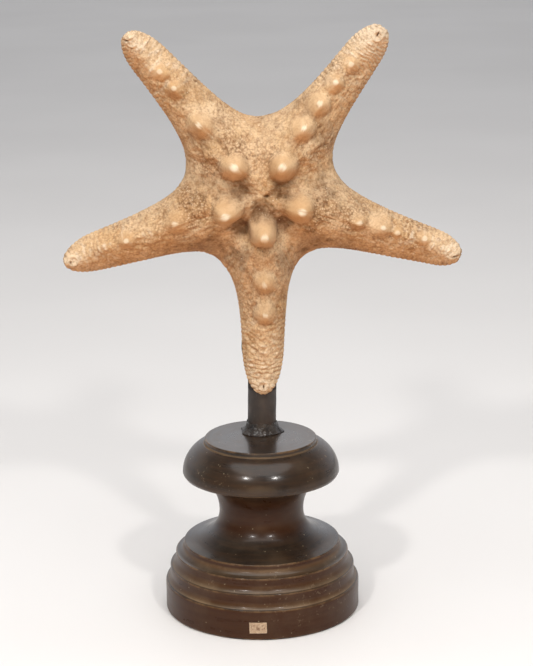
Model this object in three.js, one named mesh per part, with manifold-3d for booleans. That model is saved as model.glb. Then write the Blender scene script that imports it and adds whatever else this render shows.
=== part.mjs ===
// A dried knobbly sea star, standing upright on a post in a turned and ebonised wooden stand.
//
// Millimetres, +Z up. The origin is the centre of the stand's underside, and the star shows its
// knobbly upper side towards -Y. The stand is turned about Z. The post was bored into it a degree
// off plumb, so the post, the star and what sits between them are grouped about the post's foot.
//
// The star is worked out in its own flat frame: x and y in the plane of its five arms, z up from
// its flat underside. Each arm is a set of cross-sections between the line to the notch beside it
// and its tip, and its knobs are turned cones joined to it.

import * as THREE from 'three';
import { mergeVertices } from 'three/addons/utils/BufferGeometryUtils.js';
import Module from 'manifold-3d';

const wasm = await Module();
wasm.setup();

// Clearance between pieces that touch.
const GAP = 0.3;

// The turned stand: radii and heights.
const TURNING_SEGMENTS = 48;
const ROD_SEGMENTS = 32;
const PLINTH_RADIUS = 50;
const PLINTH_TOP = 15.4;
const NECK = { radius: 21.6, height: 52 };
const SEAM_HEIGHT = 71;
const FLARE_RADIUS = 31;
const BUN_RADIUS = 40.1;
// The bun's side is part of a ring's section: its centre's radius and height, how far it rises
// above that, and the degrees it turns through before it meets the disc on top.
const BUN = { centre: 22, equator: 72.8, rise: 16.8, turn: 66 };
const DISC_RADIUS = 28.6;
const DISC_FOOT = 87.9;
const DISC_TOP = 90.7;
// Steps above the plinth, each a cove up to a short wall: the wall's radius, foot and top.
const STEPS = [
  { radius: 47.5, foot: 19.0, top: 23.0 },
  { radius: 44.5, foot: 27.2, top: 30.3 },
  { radius: 40.1, foot: 33.8, top: 35.8 },
];

// The post: a round rod, flattened above its shoulder into a tongue behind the lowest arm.
const POST_RADIUS = 7.3;
const POST_FOOT = -34;
const POST_SHOULDER = 23;
const POST_TOP = 73.5;
const TONGUE_FACE = 0.6;
const POST_LEAN = THREE.MathUtils.degToRad(1.05);
const POST_OFFSET = 0.7;
// The post stands behind the stand's centre, so that the thick star in front of it is balanced.
const POST_SETBACK = 8.5;

// The mastic: a pad between the tongue and the arm, and a collar round the post's foot.
const PAD = { width: 21.5, bottom: 30.5, top: 75.5, corner: 6 };
const COLLAR = { radius: 11.6, height: 6, lobes: 3, waviness: 0.9, segments: 36 };

// The paper label on the front of the plinth.
const LABEL = { width: 9.2, height: 6.2, thickness: 0.25, across: -2.4, middle: 6.8 };

// The star: where its centre is above the post's foot, and how far its underside is in front.
const STAR_CENTRE = { across: -0.4, height: 127.6 };
const STAR_FRONT_OFFSET = 2.4;
// The star's own measures below are taken up by this much.
const STAR_SIZE = 1.009;
// Each arm: direction in degrees, length, length of its round tip, half-width and its taper per
// millimetre, and sideways bow at mid length.
const ARMS = [
  { angle: 342, length: 107, tip: 16, halfWidth: 11.5, taper: 0.08, bow: -1.1 },
  { angle: 54.5, length: 103, tip: 21, halfWidth: 9.5, taper: 0.03, bow: -0.2 },
  { angle: 131, length: 105.5, tip: 22, halfWidth: 10.5, taper: 0.05, bow: -0.4 },
  { angle: 200.5, length: 108.5, tip: 22, halfWidth: 11.8, taper: 0.07, bow: 1.2 },
  { angle: 270.5, length: 107.5, tip: 30, halfWidth: 9.5, taper: 0, bow: 0.4 },
];
const WIDTH_AT = 55;
// The round notch after each arm, counter-clockwise: direction in degrees, radius, and the
// direction that its edge squarely faces.
const NOTCHES = [
  { angle: 20, radius: 37, facing: 14.5 },
  { angle: 94, radius: 36.7, facing: 92.5 },
  { angle: 168.5, radius: 39.3, facing: 165.5 },
  { angle: 237.5, radius: 41.5, facing: 230 },
  { angle: 301, radius: 39.2, facing: 312 },
];
const DISC_HEIGHT = 25;
const TIP_HEIGHT = 9;
const HEIGHT_FALL = 48;
const CENTRE_DIP = { depth: 2, radius: 9 };
const EDGE_HEIGHT = 5;
const GROOVE = { depth: 2.2, share: 0.25 };
const MOUTH = { depth: 3, radius: 8 };
// The arm tips curl up from the underside's plane, on an arc that starts this far from the tip.
const CURL = { reach: 24, radius: 38 };

// Knobs on each arm, in the order of ARMS: distance from the centre, sideways offset, radius and
// height, and for the five round the centre how far their tops lean outwards and sideways.
const KNOBS = [
  [
    [18.5, -0.2, 7.5, 8, 1.4, 0.3], [48, 2.8, 4.4, 3.6], [60, 4, 6.2, 3.6], [68.4, 3, 3, 1.2],
    [82, 4, 4, 1.4],
  ],
  [
    [17.2, 0.6, 7.2, 8.5, 0.9, 1.2], [37.4, 3.8, 6.4, 5.5], [51, 4.2, 6, 4], [63.6, 3.8, 5, 3.4],
    [75, 2.6, 4.6, 1.8],
  ],
  [[20, 1.3, 7.2, 8.5, 0.6, -0.9], [45, 1.1, 6.6, 5.5], [66, -0.8, 5, 3.2], [76.6, -0.7, 4.6, 1.8]],
  [[18.3, 0.7, 7.5, 8, 1.8, 1.1], [44.3, -2.5, 6.6, 3], [70, -2.2, 5, 2.4]],
  [[17.2, 0, 8, 9.4, 1.5, 0.8], [43.7, 0.5, 6, 3.6], [59.6, 0.7, 6.2, 3.4]],
];
const KNOB_LEAN = THREE.MathUtils.degToRad(14);
const KNOB_ROOT = 3;
const KNOB_SEGMENTS = 10;

// Shares of the half-width at which a cross-section has its points, on its two sides.
const CREST_SHARES = [0, 0.22, 0.44, 0.66, 0.84, 0.95, 1];
const FLOOR_SHARES = [0, 0.25, 0.6, 0.88, 1];
const ARM_ROWS = 26;
const ROW_CROWDING = 1.5;
const WEB_SHARE = 0.42;

const { degToRad, smoothstep, lerp } = THREE.MathUtils;

// ---------------------------------------------------------------- solids

// The position-only mesh with its shared vertices merged, and without the flat faces at its poles.
function welded(geometry) {
  const bare = geometry.clone();
  bare.deleteAttribute('normal');
  bare.deleteAttribute('uv');
  const merged = mergeVertices(bare);
  const index = merged.index.array;
  const kept = [];
  for (let i = 0; i < index.length; i += 3) {
    const [a, b, c] = [index[i], index[i + 1], index[i + 2]];
    if (a !== b && b !== c && c !== a) kept.push(a, b, c);
  }
  merged.setIndex(kept);
  return merged;
}

function solidOf(geometry) {
  const mesh = welded(geometry);
  return new wasm.Manifold(new wasm.Mesh({
    numProp: 3,
    vertProperties: new Float32Array(mesh.attributes.position.array),
    triVerts: new Uint32Array(mesh.index.array),
  }));
}

function geometryOf(solid) {
  const mesh = solid.getMesh();
  const geometry = new THREE.BufferGeometry();
  geometry.setAttribute('position', new THREE.BufferAttribute(new Float32Array(mesh.vertProperties), 3));
  geometry.setIndex(Array.from(mesh.triVerts));
  return geometry;
}

// A body turned about Z from a profile of [radius, height] points that starts and ends on the axis
// or closes on itself.
function turned(profile, segments = TURNING_SEGMENTS) {
  const points = profile.map(([radius, height]) => new THREE.Vector2(radius, height));
  return new THREE.LatheGeometry(points, segments).rotateX(Math.PI / 2);
}

// ---------------------------------------------------------------- stand

// A concave quarter round, from the arris below it up to the foot of the wall above it.
function cove(arris, foot, steps = 4) {
  const points = [];
  for (let i = 1; i <= steps; i++) {
    const turn = (i / steps) * Math.PI / 2;
    points.push([
      arris[0] - (arris[0] - foot[0]) * Math.sin(turn),
      foot[1] - (foot[1] - arris[1]) * Math.cos(turn),
    ]);
  }
  return points;
}

function sweep(start, startPull, endPull, end, steps) {
  const corners = [start, startPull, endPull, end].map((corner) => new THREE.Vector2(...corner));
  const curve = new THREE.CubicBezierCurve(...corners);
  return curve.getPoints(steps).slice(1).map((p) => [p.x, p.y]);
}

// The hole for the post, drilled along the post's own leaning axis.
function postBore(bottom) {
  const length = DISC_TOP - bottom + 10;
  return solidOf(new THREE.CylinderGeometry(POST_RADIUS + GAP, POST_RADIUS + GAP, length, ROD_SEGMENTS)
    .rotateX(Math.PI / 2)
    .translate(0, 0, bottom - DISC_TOP + length / 2)
    .rotateY(POST_LEAN)
    .translate(POST_OFFSET, POST_SETBACK, DISC_TOP));
}

function pedestalGeometry() {
  const profile = [
    [0, 0], [PLINTH_RADIUS - 0.6, 0], [PLINTH_RADIUS, 0.8],
    [PLINTH_RADIUS, PLINTH_TOP - 1], [PLINTH_RADIUS - 0.3, PLINTH_TOP],
  ];
  for (const step of STEPS) {
    profile.push(...cove(profile.at(-1), [step.radius, step.foot]), [step.radius, step.top]);
  }
  const skirtTop = profile.at(-1);
  const neck = [NECK.radius, NECK.height];
  profile.push(
    ...sweep(skirtTop, [30, 38], [NECK.radius, 42.5], neck, 8),
    ...sweep(neck, [NECK.radius, 60], [25.5, 66.5], [FLARE_RADIUS, SEAM_HEIGHT - GAP / 2], 6),
    [0, SEAM_HEIGHT - GAP / 2],
  );
  return geometryOf(solidOf(turned(profile)).subtract(postBore(DISC_TOP + POST_FOOT - 1)));
}

function capitalGeometry() {
  const { centre, equator, rise } = BUN;
  const profile = [[0, SEAM_HEIGHT + GAP / 2], [BUN_RADIUS - 0.9, SEAM_HEIGHT + GAP / 2]];
  const steps = 9;
  const lastTurn = degToRad(BUN.turn);
  for (let i = 0; i <= steps; i++) {
    const turn = (i / steps) * lastTurn;
    profile.push([centre + (BUN_RADIUS - centre) * Math.cos(turn), equator + rise * Math.sin(turn)]);
  }
  profile.push(
    [DISC_RADIUS + 0.1, DISC_FOOT],
    [DISC_RADIUS, DISC_TOP - 0.4], [DISC_RADIUS - 0.4, DISC_TOP], [0, DISC_TOP],
  );
  return geometryOf(solidOf(turned(profile)).subtract(postBore(SEAM_HEIGHT - 5)));
}

// ---------------------------------------------------------------- post and mastic

// In the post's own frame: z along the post from the stand's top.
function postGeometry() {
  const edge = 0.8;
  const rod = turned([
    [0, POST_FOOT], [POST_RADIUS - edge, POST_FOOT], [POST_RADIUS, POST_FOOT + edge],
    [POST_RADIUS, POST_TOP - edge], [POST_RADIUS - edge, POST_TOP], [0, POST_TOP],
  ], ROD_SEGMENTS);
  const flat = new THREE.BoxGeometry(20, 20, POST_TOP)
    .translate(0, TONGUE_FACE - 10, POST_SHOULDER + POST_TOP / 2);
  return geometryOf(solidOf(rod).subtract(solidOf(flat)));
}

// A slab with round ends between the tongue and the flat underside of the arm.
function padGeometry() {
  const { width, bottom, top, corner } = PAD;
  const side = width / 2;
  const outline = new THREE.Shape();
  outline.moveTo(-side, bottom + corner);
  outline.lineTo(-side, top - corner);
  outline.quadraticCurveTo(-side, top, -side + corner, top);
  outline.lineTo(side - corner, top);
  outline.quadraticCurveTo(side, top, side, top - corner);
  outline.lineTo(side, bottom + corner);
  outline.quadraticCurveTo(side, bottom, side - corner, bottom);
  outline.lineTo(-side + corner, bottom);
  outline.quadraticCurveTo(-side, bottom, -side, bottom + corner);
  const depth = STAR_FRONT_OFFSET + TONGUE_FACE - 2 * GAP;
  return new THREE.ExtrudeGeometry(outline, { depth, bevelEnabled: false, curveSegments: 5 })
    .rotateX(Math.PI / 2)
    .translate(0, TONGUE_FACE - GAP, 0);
}

// A lumpy fillet of mastic round the post's foot.
function collarGeometry() {
  const { radius, height, lobes, waviness, segments } = COLLAR;
  const bore = POST_RADIUS + GAP;
  const collar = turned([
    [bore, GAP], [radius, GAP], [radius - 0.5, GAP + 0.9], [lerp(bore, radius, 0.55), 0.38 * height],
    [lerp(bore, radius, 0.25), 0.7 * height], [bore + 0.4, height], [bore, height - 0.4], [bore, GAP],
  ], segments);
  const positions = collar.attributes.position;
  for (let i = 0; i < positions.count; i++) {
    const [x, y] = [positions.getX(i), positions.getY(i)];
    const reach = Math.hypot(x, y);
    const turn = Math.atan2(y, x);
    const wave = waviness * Math.sin(lobes * turn + 1) * Math.max(0, (reach - bore) / (radius - bore));
    positions.setXY(i, x * (1 + wave / reach), y * (1 + wave / reach));
  }
  return collar.translate(POST_OFFSET, POST_SETBACK, DISC_TOP);
}

// A thin slip of paper that follows the round of the plinth.
function labelGeometry() {
  const { width, height, thickness, across, middle } = LABEL;
  const inner = PLINTH_RADIUS + GAP;
  const outer = inner + thickness;
  const [start, end] = [-width / 2, width / 2].map((x) => -Math.PI / 2 + (x + across) / outer);
  const section = new THREE.Shape();
  section.absarc(0, 0, outer, start, end, false);
  section.absarc(0, 0, inner, end, start, true);
  section.closePath();
  return new THREE.ExtrudeGeometry(section, { depth: height, bevelEnabled: false, curveSegments: 8 })
    .translate(0, 0, middle - height / 2);
}

// ---------------------------------------------------------------- star

const polar = (angle, radius) => [radius * Math.cos(angle), radius * Math.sin(angle)];

// 1 along an arm, falling to 0 over its round tip.
function tipRound(arm, along) {
  const past = Math.max(0, along - (arm.length - arm.tip)) / arm.tip;
  return Math.sqrt(Math.max(0, 1 - past ** 2.4));
}

// The two notches beside an arm, as seen from it: their distance along the arm and across it.
function notchesBeside(armNumber) {
  const arm = ARMS[armNumber];
  const before = NOTCHES[(armNumber + NOTCHES.length - 1) % NOTCHES.length];
  const after = NOTCHES[armNumber];
  return [before, after].map((notch) => {
    const turnTo = (angle) => Math.abs(degToRad(((angle - arm.angle + 540) % 360) - 180));
    const [along, across] = polar(turnTo(notch.angle), notch.radius);
    return { notch, along, across, slope: 1 / Math.tan(turnTo(notch.facing)) };
  });
}

// Half-width of an arm on one side: the tapering arm, and the web that leads round into the notch.
function halfWidth(arm, beside, along) {
  const plain = (at) => arm.halfWidth - arm.taper * (at - WIDTH_AT);
  const web = beside.across - plain(beside.along);
  const reach = 2 * web / (beside.slope - arm.taper);
  return (plain(along) + web / (1 + (along - beside.along) / reach) ** 2) * tipRound(arm, along);
}

function crestHeight(along) {
  const fall = (DISC_HEIGHT - TIP_HEIGHT) / (1 + (along / HEIGHT_FALL) ** 2.2);
  return TIP_HEIGHT + fall - CENTRE_DIP.depth * Math.exp(-((along / CENTRE_DIP.radius) ** 2));
}

function topHeight(arm, along, share) {
  const profile = Math.max(0, 1 - share ** 1.5) ** 0.64;
  return EDGE_HEIGHT + (crestHeight(along) - EDGE_HEIGHT) * profile * tipRound(arm, along);
}

function floorHeight(arm, along, share) {
  const round = tipRound(arm, along);
  const edge = EDGE_HEIGHT * (1 - Math.sqrt(1 - share ** 8) * round);
  const deep = GROOVE.depth + MOUTH.depth * Math.exp(-((along / MOUTH.radius) ** 2));
  return edge + deep * Math.max(0, 1 - share / GROOVE.share) * round;
}

// A point of an arm, given along, across and up from it, bowed sideways and curled at the tip.
function placed(arm, along, across, up) {
  const stretch = THREE.MathUtils.clamp((along - 15) / (arm.length - 15), 0, 1);
  const sideways = across + arm.bow * Math.sin(Math.PI * stretch) ** 2;
  const turn = Math.max(0, along - (arm.length - CURL.reach)) / CURL.radius;
  const straight = Math.min(along, arm.length - CURL.reach);
  const reach = straight + CURL.radius * Math.sin(turn) - up * Math.sin(turn);
  const rise = CURL.radius * (1 - Math.cos(turn)) + up * Math.cos(turn);
  const angle = degToRad(arm.angle);
  return new THREE.Vector3(
    reach * Math.cos(angle) - sideways * Math.sin(angle),
    reach * Math.sin(angle) + sideways * Math.cos(angle),
    rise,
  );
}

// One side of an arm, 0 before or 1 after it: a grid of points from the notch line to the tip, at
// the given shares of the half-width and at the height that heightAt gives.
function flankPoints(armNumber, side, shares, heightAt) {
  const arm = ARMS[armNumber];
  const both = notchesBeside(armNumber);
  const beside = both[side];
  const middleFoot = (both[0].along + both[1].along) / 2;
  const rows = [];
  for (let i = 0; i <= ARM_ROWS; i++) {
    const done = 1 - (1 - i / ARM_ROWS) ** ROW_CROWDING;
    const along = lerp(beside.along, arm.length, done);
    const spine = lerp(middleFoot, arm.length, done) * smoothstep(done, 0, WEB_SHARE);
    const edge = halfWidth(arm, beside, along) * (side === 0 ? -1 : 1);
    rows.push(shares.map((share) => {
      if (i === 0) {
        const [x, y] = polar(degToRad(beside.notch.angle), beside.notch.radius * share);
        return new THREE.Vector3(x, y, heightAt(arm, 0, share));
      }
      return placed(arm, lerp(spine, along, share), edge * share, heightAt(arm, spine, share));
    }));
  }
  return rows;
}

function starBody() {
  const positions = [];
  const addSheet = (rows, flipped) => {
    for (let i = 0; i + 1 < rows.length; i++) {
      for (let j = 0; j + 1 < rows[i].length; j++) {
        const [a, b, c, d] = [rows[i][j], rows[i + 1][j], rows[i + 1][j + 1], rows[i][j + 1]];
        const faces = flipped ? [a, c, b, a, d, c] : [a, b, c, a, c, d];
        for (const corner of faces) positions.push(corner.x, corner.y, corner.z);
      }
    }
  };
  for (let armNumber = 0; armNumber < ARMS.length; armNumber++) {
    for (const side of [0, 1]) {
      addSheet(flankPoints(armNumber, side, CREST_SHARES, topHeight), side === 0);
      addSheet(flankPoints(armNumber, side, FLOOR_SHARES, floorHeight), side === 1);
    }
  }
  const geometry = new THREE.BufferGeometry();
  geometry.setAttribute('position', new THREE.Float32BufferAttribute(positions, 3));
  return solidOf(geometry);
}

// A blunt cone with a small nub, rooted in the arm and leaning out along it or a little to one side.
function knob(armNumber, size) {
  const [along, across, radius, height, out = height * Math.tan(KNOB_LEAN), sideways = 0] = size;
  const arm = ARMS[armNumber];
  const cone = turned([
    [0, -KNOB_ROOT], [radius * 1.04, -KNOB_ROOT], [radius, 0], [radius * 0.87, height * 0.3],
    [radius * 0.64, height * 0.6], [radius * 0.34, height * 0.88], [0, height],
  ], KNOB_SEGMENTS);
  const foot = placed(arm, along, across, topHeight(arm, along, Math.abs(across) / arm.halfWidth));
  return solidOf(cone
    .rotateX(-Math.atan2(sideways, height))
    .rotateY(Math.atan2(out, height))
    .rotateZ(degToRad(arm.angle))
    .translate(foot.x, foot.y, foot.z));
}

function starGeometry() {
  let star = starBody();
  KNOBS.forEach((knobs, armNumber) => {
    for (const size of knobs) star = star.add(knob(armNumber, size));
  });
  return geometryOf(star).scale(STAR_SIZE, STAR_SIZE, STAR_SIZE).rotateX(Math.PI / 2);
}

// ---------------------------------------------------------------- assembly

function piece(name, geometry, color, roughness, metalness = 0) {
  const mesh = new THREE.Mesh(geometry, new THREE.MeshStandardMaterial({ color, roughness, metalness }));
  mesh.name = name;
  return mesh;
}

const EBONISED = 0x2e241d;

const stand = new THREE.Group();
stand.add(
  piece('stand_pedestal', pedestalGeometry(), EBONISED, 0.38),
  piece('stand_capital', capitalGeometry(), EBONISED, 0.34),
  piece('paper_label', labelGeometry(), 0xcdb68c, 0.85),
  piece('foot_filler', collarGeometry(), 0x14110f, 0.2),
);

const mounted = new THREE.Group();
mounted.position.set(POST_OFFSET, POST_SETBACK, DISC_TOP);
mounted.rotation.y = POST_LEAN;
const starfish = piece('starfish', starGeometry(), 0xd4ad78, 0.85);
starfish.position.set(STAR_CENTRE.across, -STAR_FRONT_OFFSET, STAR_CENTRE.height);
mounted.add(
  piece('mount_post', postGeometry(), 0x332b26, 0.5),
  piece('arm_bedding', padGeometry(), 0x14110f, 0.3),
  starfish,
);

const group = new THREE.Group();
group.add(stand, mounted);

export default group;
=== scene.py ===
"""A dried knobbly sea star on a post in a turned, ebonised stand.

The star's skin is one sheet, worked out in its own flat frame in millimetres: x and y in the
plane of its arms, z up from its flat underside. The stand's parts are turned about Z. Everything
is put in place at the end of its own function, in metres.
"""

import math
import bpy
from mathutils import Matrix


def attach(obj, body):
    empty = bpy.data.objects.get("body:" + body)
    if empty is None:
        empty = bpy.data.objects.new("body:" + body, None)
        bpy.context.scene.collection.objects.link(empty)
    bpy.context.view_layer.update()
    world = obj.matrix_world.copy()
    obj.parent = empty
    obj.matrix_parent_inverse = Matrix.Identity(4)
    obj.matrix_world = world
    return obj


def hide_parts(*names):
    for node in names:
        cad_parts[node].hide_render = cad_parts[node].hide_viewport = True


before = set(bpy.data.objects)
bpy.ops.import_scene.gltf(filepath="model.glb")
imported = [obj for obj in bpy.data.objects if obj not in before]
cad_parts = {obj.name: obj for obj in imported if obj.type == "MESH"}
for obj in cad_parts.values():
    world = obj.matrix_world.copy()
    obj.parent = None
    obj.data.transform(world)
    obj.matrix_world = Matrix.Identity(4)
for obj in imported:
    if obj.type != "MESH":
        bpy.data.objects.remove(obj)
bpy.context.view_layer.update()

from types import SimpleNamespace

import bmesh
import bpy
import numpy as np
from mathutils import Euler, Vector

MM = 0.001

# ------------------------------------------------------------------ sizes, as in the CAD source

GAP = 0.3
PLINTH_RADIUS = 50
PLINTH_TOP = 15.4
NECK = (21.6, 52)
SEAM_HEIGHT = 71
FLARE_RADIUS = 31
BUN_RADIUS = 40.1
BUN = {"centre": 22, "equator": 72.8, "rise": 16.8, "turn": 66}
DISC_RADIUS = 28.6
DISC_FOOT = 87.9
DISC_TOP = 90.7
# Steps above the plinth, each a cove up to a short wall: the wall's radius, foot and top.
STEPS = [(47.5, 19.0, 23.0), (44.5, 27.2, 30.3), (40.1, 33.8, 35.8)]

POST_RADIUS = 7.3
POST_FOOT = -34
POST_SHOULDER = 23
POST_TOP = 73.5
TONGUE_FACE = 0.6
POST_LEAN = math.radians(1.05)
POST_OFFSET = 0.7
POST_SETBACK = 8.5
PAD = {"width": 21.5, "bottom": 30.5, "top": 75.5, "corner": 6, "front": -2.1, "back": 0.3}
COLLAR = {"radius": 11.6, "height": 6}
LABEL = {"width": 9.2, "height": 6.2, "thickness": 0.25, "across": -2.4, "middle": 6.8}
LABEL_TILT = math.radians(1.2)

STAR_ACROSS = -0.4
STAR_HEIGHT = 127.6
STAR_FRONT_OFFSET = 2.4
STAR_SIZE = 1.009


def arm(angle, length, tip, half_width, taper, bow, crest):
    """One arm: crest is how far its ridge runs to one side of its middle."""
    return SimpleNamespace(
        angle=math.radians(angle), length=length, tip=tip, half_width=half_width,
        taper=taper, bow=bow, crest=crest,
    )


ARMS = [
    arm(342, 107, 16, 11.5, 0.08, -1.1, 2.0),
    arm(54.5, 103, 21, 9.5, 0.03, -0.2, 2.6),
    arm(131, 105.5, 22, 10.5, 0.05, -0.4, 0),
    arm(200.5, 108.5, 22, 11.8, 0.07, 1.2, -1.6),
    arm(270.5, 107.5, 30, 9.5, 0, 0.4, 0.6),
]
WIDTH_AT = 55
# After each arm, counter-clockwise: direction, radius, and the direction its edge faces.
NOTCHES = [
    (20, 37, 14.5), (94, 36.7, 92.5), (168.5, 39.3, 165.5), (237.5, 41.5, 230), (301, 39.2, 312),
]
DISC_HEIGHT, TIP_HEIGHT, HEIGHT_FALL = 25, 9, 48
CENTRE_DIP, CENTRE_DIP_RADIUS = 2, 9
EDGE_HEIGHT = 5
GROOVE_DEPTH, GROOVE_SHARE = 2.2, 0.25
MOUTH_DEPTH, MOUTH_RADIUS = 3, 8
CURL_REACH, CURL_RADIUS = 24, 38
# Knobs of each arm: distance from the centre, sideways, radius, height, and for the five that
# stand round the centre how far their tops lean outwards and sideways.
KNOBS = [
    [(18.5, -0.2, 7.5, 8, 1.4, 0.3), (48, 2.8, 4.4, 3.6), (60, 4, 6.2, 3.6), (68.4, 3, 3, 1.2),
     (82, 4, 4, 1.4)],
    [(17.2, 0.6, 7.2, 8.5, 0.9, 1.2), (37.4, 3.8, 6.4, 5.5), (51.0, 4.2, 6, 4), (63.6, 3.8, 5, 3.4),
     (75, 2.6, 4.6, 1.8)],
    [(20, 1.3, 7.2, 8.5, 0.6, -0.9), (45, 1.1, 6.6, 5.5), (66, -0.8, 5, 3.2), (76.6, -0.7, 4.6, 1.8)],
    [(18.3, 0.7, 7.5, 8, 1.8, 1.1), (44.3, -2.5, 6.6, 3), (70, -2.2, 5, 2.4)],
    [(17.2, 0, 8, 9.4, 1.5, 0.8), (43.7, 0.5, 6, 3.6), (59.6, 0.7, 6.2, 3.4)],
]
KNOB_LEAN = math.radians(14)
# Its nub's radius, how steep its sides are, how clean they are, and how deep the dip round it is,
# which is also darkened as painted shade.
KNOB_KINDS = {
    "central": SimpleNamespace(nub=2.1, steep=0.75, bare=0.9, skirt=1),
    "outer": SimpleNamespace(nub=1.4, steep=0.5, bare=0.65, skirt=0.25),
}

# ------------------------------------------------------------------ the star's own detail

ARM_ROWS = 168
CREST_COLUMNS = 46
FLOOR_COLUMNS = 8
ROW_CROWDING = 1.25
WEB_SHARE = 0.42
# Two arms differ: the lowest has coarser plates, and the upper right one is bleached.
LOWEST_ARM, BLEACHED_ARM = 4, 1
# Sizes of the plates and pits, in millimetres.
ROW_PITCH, LOWEST_ROW_PITCH, PLATE_WIDTH = 2.5, 3.2, 4.4
PIT_CELL, SMALL_PIT_CELL, PAVING_CELL = 3.1, 2.0, 2.4
TOOTH_PITCH, RIB_PITCH = 2.6, 1.7
# Hollows in the disc, and a pore in its centre: x, y, radius, depth.
HOLLOWS = [
    (-9.5, -16.5, 4.6, 3.0), (9.2, -15.2, 4.6, 3.0), (-9.7, 3.0, 4.2, 2.0), (9.2, 3.4, 4.2, 2.0),
    (-0.3, -7.4, 5.0, 1.2), (0.5, 12.0, 4.0, 0.6),
]
CENTRAL_PORE = (1.8, 0, 0.7, 3)
# The raised sieve plate beside the upper left knob: x, y, radius, rise.
SIEVE_PLATE = (-3, 21.7, 3.2, 1.0)
# Patches of coarse pale crust, and of brown dirt with painted shade in the valleys beside the knobs,
# on the upper side: x, y, radius, amount.
CRUSTS = [
    (30, -8, 11, 1), (44, -11, 9, 0.8), (-15, 24, 9, 0.9), (-2, 20, 8, 0.5), (-33, -8, 11, 1),
    (-45, -13, 9, 0.6), (74, -18, 10, 0.8), (60, -16, 9, 0.5), (-24, 14, 8, 0.6), (-18, 39, 7, 0.5),
    (24, 20, 8, 0.4), (-68, -20, 8, 0.4), (0, -58, 9, 0.3), (38, 58, 9, 0.5), (-40, 50, 9, 0.3),
]
SOILED_AND_SHADED = [
    (-10, 3, 5.5, 0.9), (9.5, 3.5, 5.5, 0.9), (-9.5, -17, 6, 1), (9.5, -16, 6, 1), (0, -9, 8, 1),
    (-24, -25, 9, 0.8), (25, -25, 9, 0.7), (-36, -24, 8, 0.5), (40, -24, 8, 0.4), (-13, -33, 8, 0.8),
    (13, -33, 8, 0.5), (-27, 30, 10, 0.5), (29, 28, 9, 0.6), (0, 32, 8, 0.4), (30, 4, 9, 0.5),
    (-28, 4, 8, 0.4), (22, 42, 8, 0.5), (-36, 50, 8, 0.3),
]
# Pale scales standing up on the ridges, for each arm: along, across.
RIDGE_SCALES = [
    [(76, 3.4), (90, 1.5), (72, -2)],
    [(84, 1), (88.5, -2.2), (92.5, 1.4), (80, 4.2)],
    [(81.5, -3), (80, 1.8), (86, -6), (88.5, -3), (95, -4)],
    [(85.4, -1.7), (82.2, -1.7), (61.6, -1.6), (57.8, -1.9)],
    [(77.6, 0), (81, 0), (90.8, 0.3), (86, -6.8), (90, -6.4), (94.5, -5.2)],
]
# The slit in each arm's tip: along from the end, across, direction in degrees, reach.
TIP_SLITS = [
    (-1.6, -0.6, 35, 1.1), (-3.0, 0.6, 10, 1.2), (-1.8, 1.6, 60, 0.8), (-2.4, 0.2, 75, 0.7),
    (-3.6, 0.2, 0, 0.9),
]
NOISE_SIZE = 32
NOISE = np.random.default_rng(11).random((NOISE_SIZE, NOISE_SIZE, NOISE_SIZE, 4))

# ------------------------------------------------------------------ detail of the other pieces

TURNING_SEGMENTS = 200
RING_SPACING = 1.1
COVE_STEPS = 14
# How far to each side a profile is looked at, to find its edges and corners.
EDGE_REACH = 0.9
# The post's hole is off the turnings' axis: they give way to it inside this radius, above this
# height.
BORE_REACH, BORE_ABOVE = 19, 50
SPINE = {"Length": 0.0017, "Thickness": 0.00038, "Variation": 0.3, "Seed": 5}
SPINE_TOP = 0.55
SPINE_PITCH = 1.35
# Rows of spines on each bank of a groove: their share of the half-width, and their foot's height.
SPINE_BANKS = ((0.2, 1.6), (0.3, 1.15))

# ------------------------------------------------------------------ light and camera

STAR_MIDDLE = (0, 0, 0.2)
# Name, place, what it is aimed at, size across, power in watts, and colour.
LAMPS = [
    ("lamp left", (-0.47, -0.98, 0.98), STAR_MIDDLE, 0.1, 6.3, (1, 0.97, 0.94)),
    ("lamp right", (0.44, -0.98, 0.98), STAR_MIDDLE, 0.1, 5.5, (1, 0.97, 0.94)),
    ("overhead softbox", (0, -0.3, 1.7), STAR_MIDDLE, 1.9, 26, (1, 0.98, 0.96)),
    ("back wash", (0, 3.2, 1.9), (0, 2.4, 0), 2.4, 12.5, (1, 0.985, 0.975)),
    ("warm bounce", (0, -0.7, 0.03), (0, 0, 0.2), 0.5, 1.2, (1, 0.66, 0.38)),
]
FLOOR_RADIUS = 9
FLOOR_DROP = 0.0001
CAMERA_PLACE = (0, -0.9743, 0.4032)
CAMERA_LENS, CAMERA_SENSOR = 108.1, 36
CAMERA_PITCH, CAMERA_YAW, CAMERA_ROLL = 90 - 14.83, -0.215, -0.67

# ------------------------------------------------------------------ noise


def smooth(x, low, high):
    """0 below low and 1 above high, rounded at both ends."""
    t = np.clip((x - low) / (high - low), 0, 1)
    return t * t * (3 - 2 * t)


def noise_at(cell):
    i = cell.astype(int) % NOISE_SIZE
    return NOISE[i[..., 0], i[..., 1], i[..., 2]]


def cloud(points, size, shift=0.0):
    """Soft noise from -1 to 1, with lumps of about the given size."""
    p = points / size + shift
    base = np.floor(p)
    f = p - base
    f = f * f * (3 - 2 * f)
    value = np.zeros(len(p))
    for corner in np.ndindex(2, 2, 2):
        weight = np.prod(np.where(corner, f, 1 - f), axis=1)
        value += weight * noise_at(base + corner)[:, 3]
    return value * 2 - 1


def plates(points, size):
    """Distances to the nearest and next plate centres, in plate sizes, and the plate's number."""
    p = points / size
    base = np.floor(p)
    near = np.full(len(p), 9.0)
    far = near.copy()
    number = np.zeros(len(p))
    for step in np.ndindex(3, 3, 3):
        cell = base + step - 1
        dice = noise_at(cell)
        distance = np.linalg.norm(cell + 0.15 + 0.7 * dice[:, :3] - p, axis=1)
        closer = distance < near
        far = np.where(closer, near, np.minimum(far, distance))
        number = np.where(closer, dice[:, 3], number)
        near = np.where(closer, distance, near)
    return near, far, number


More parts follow.
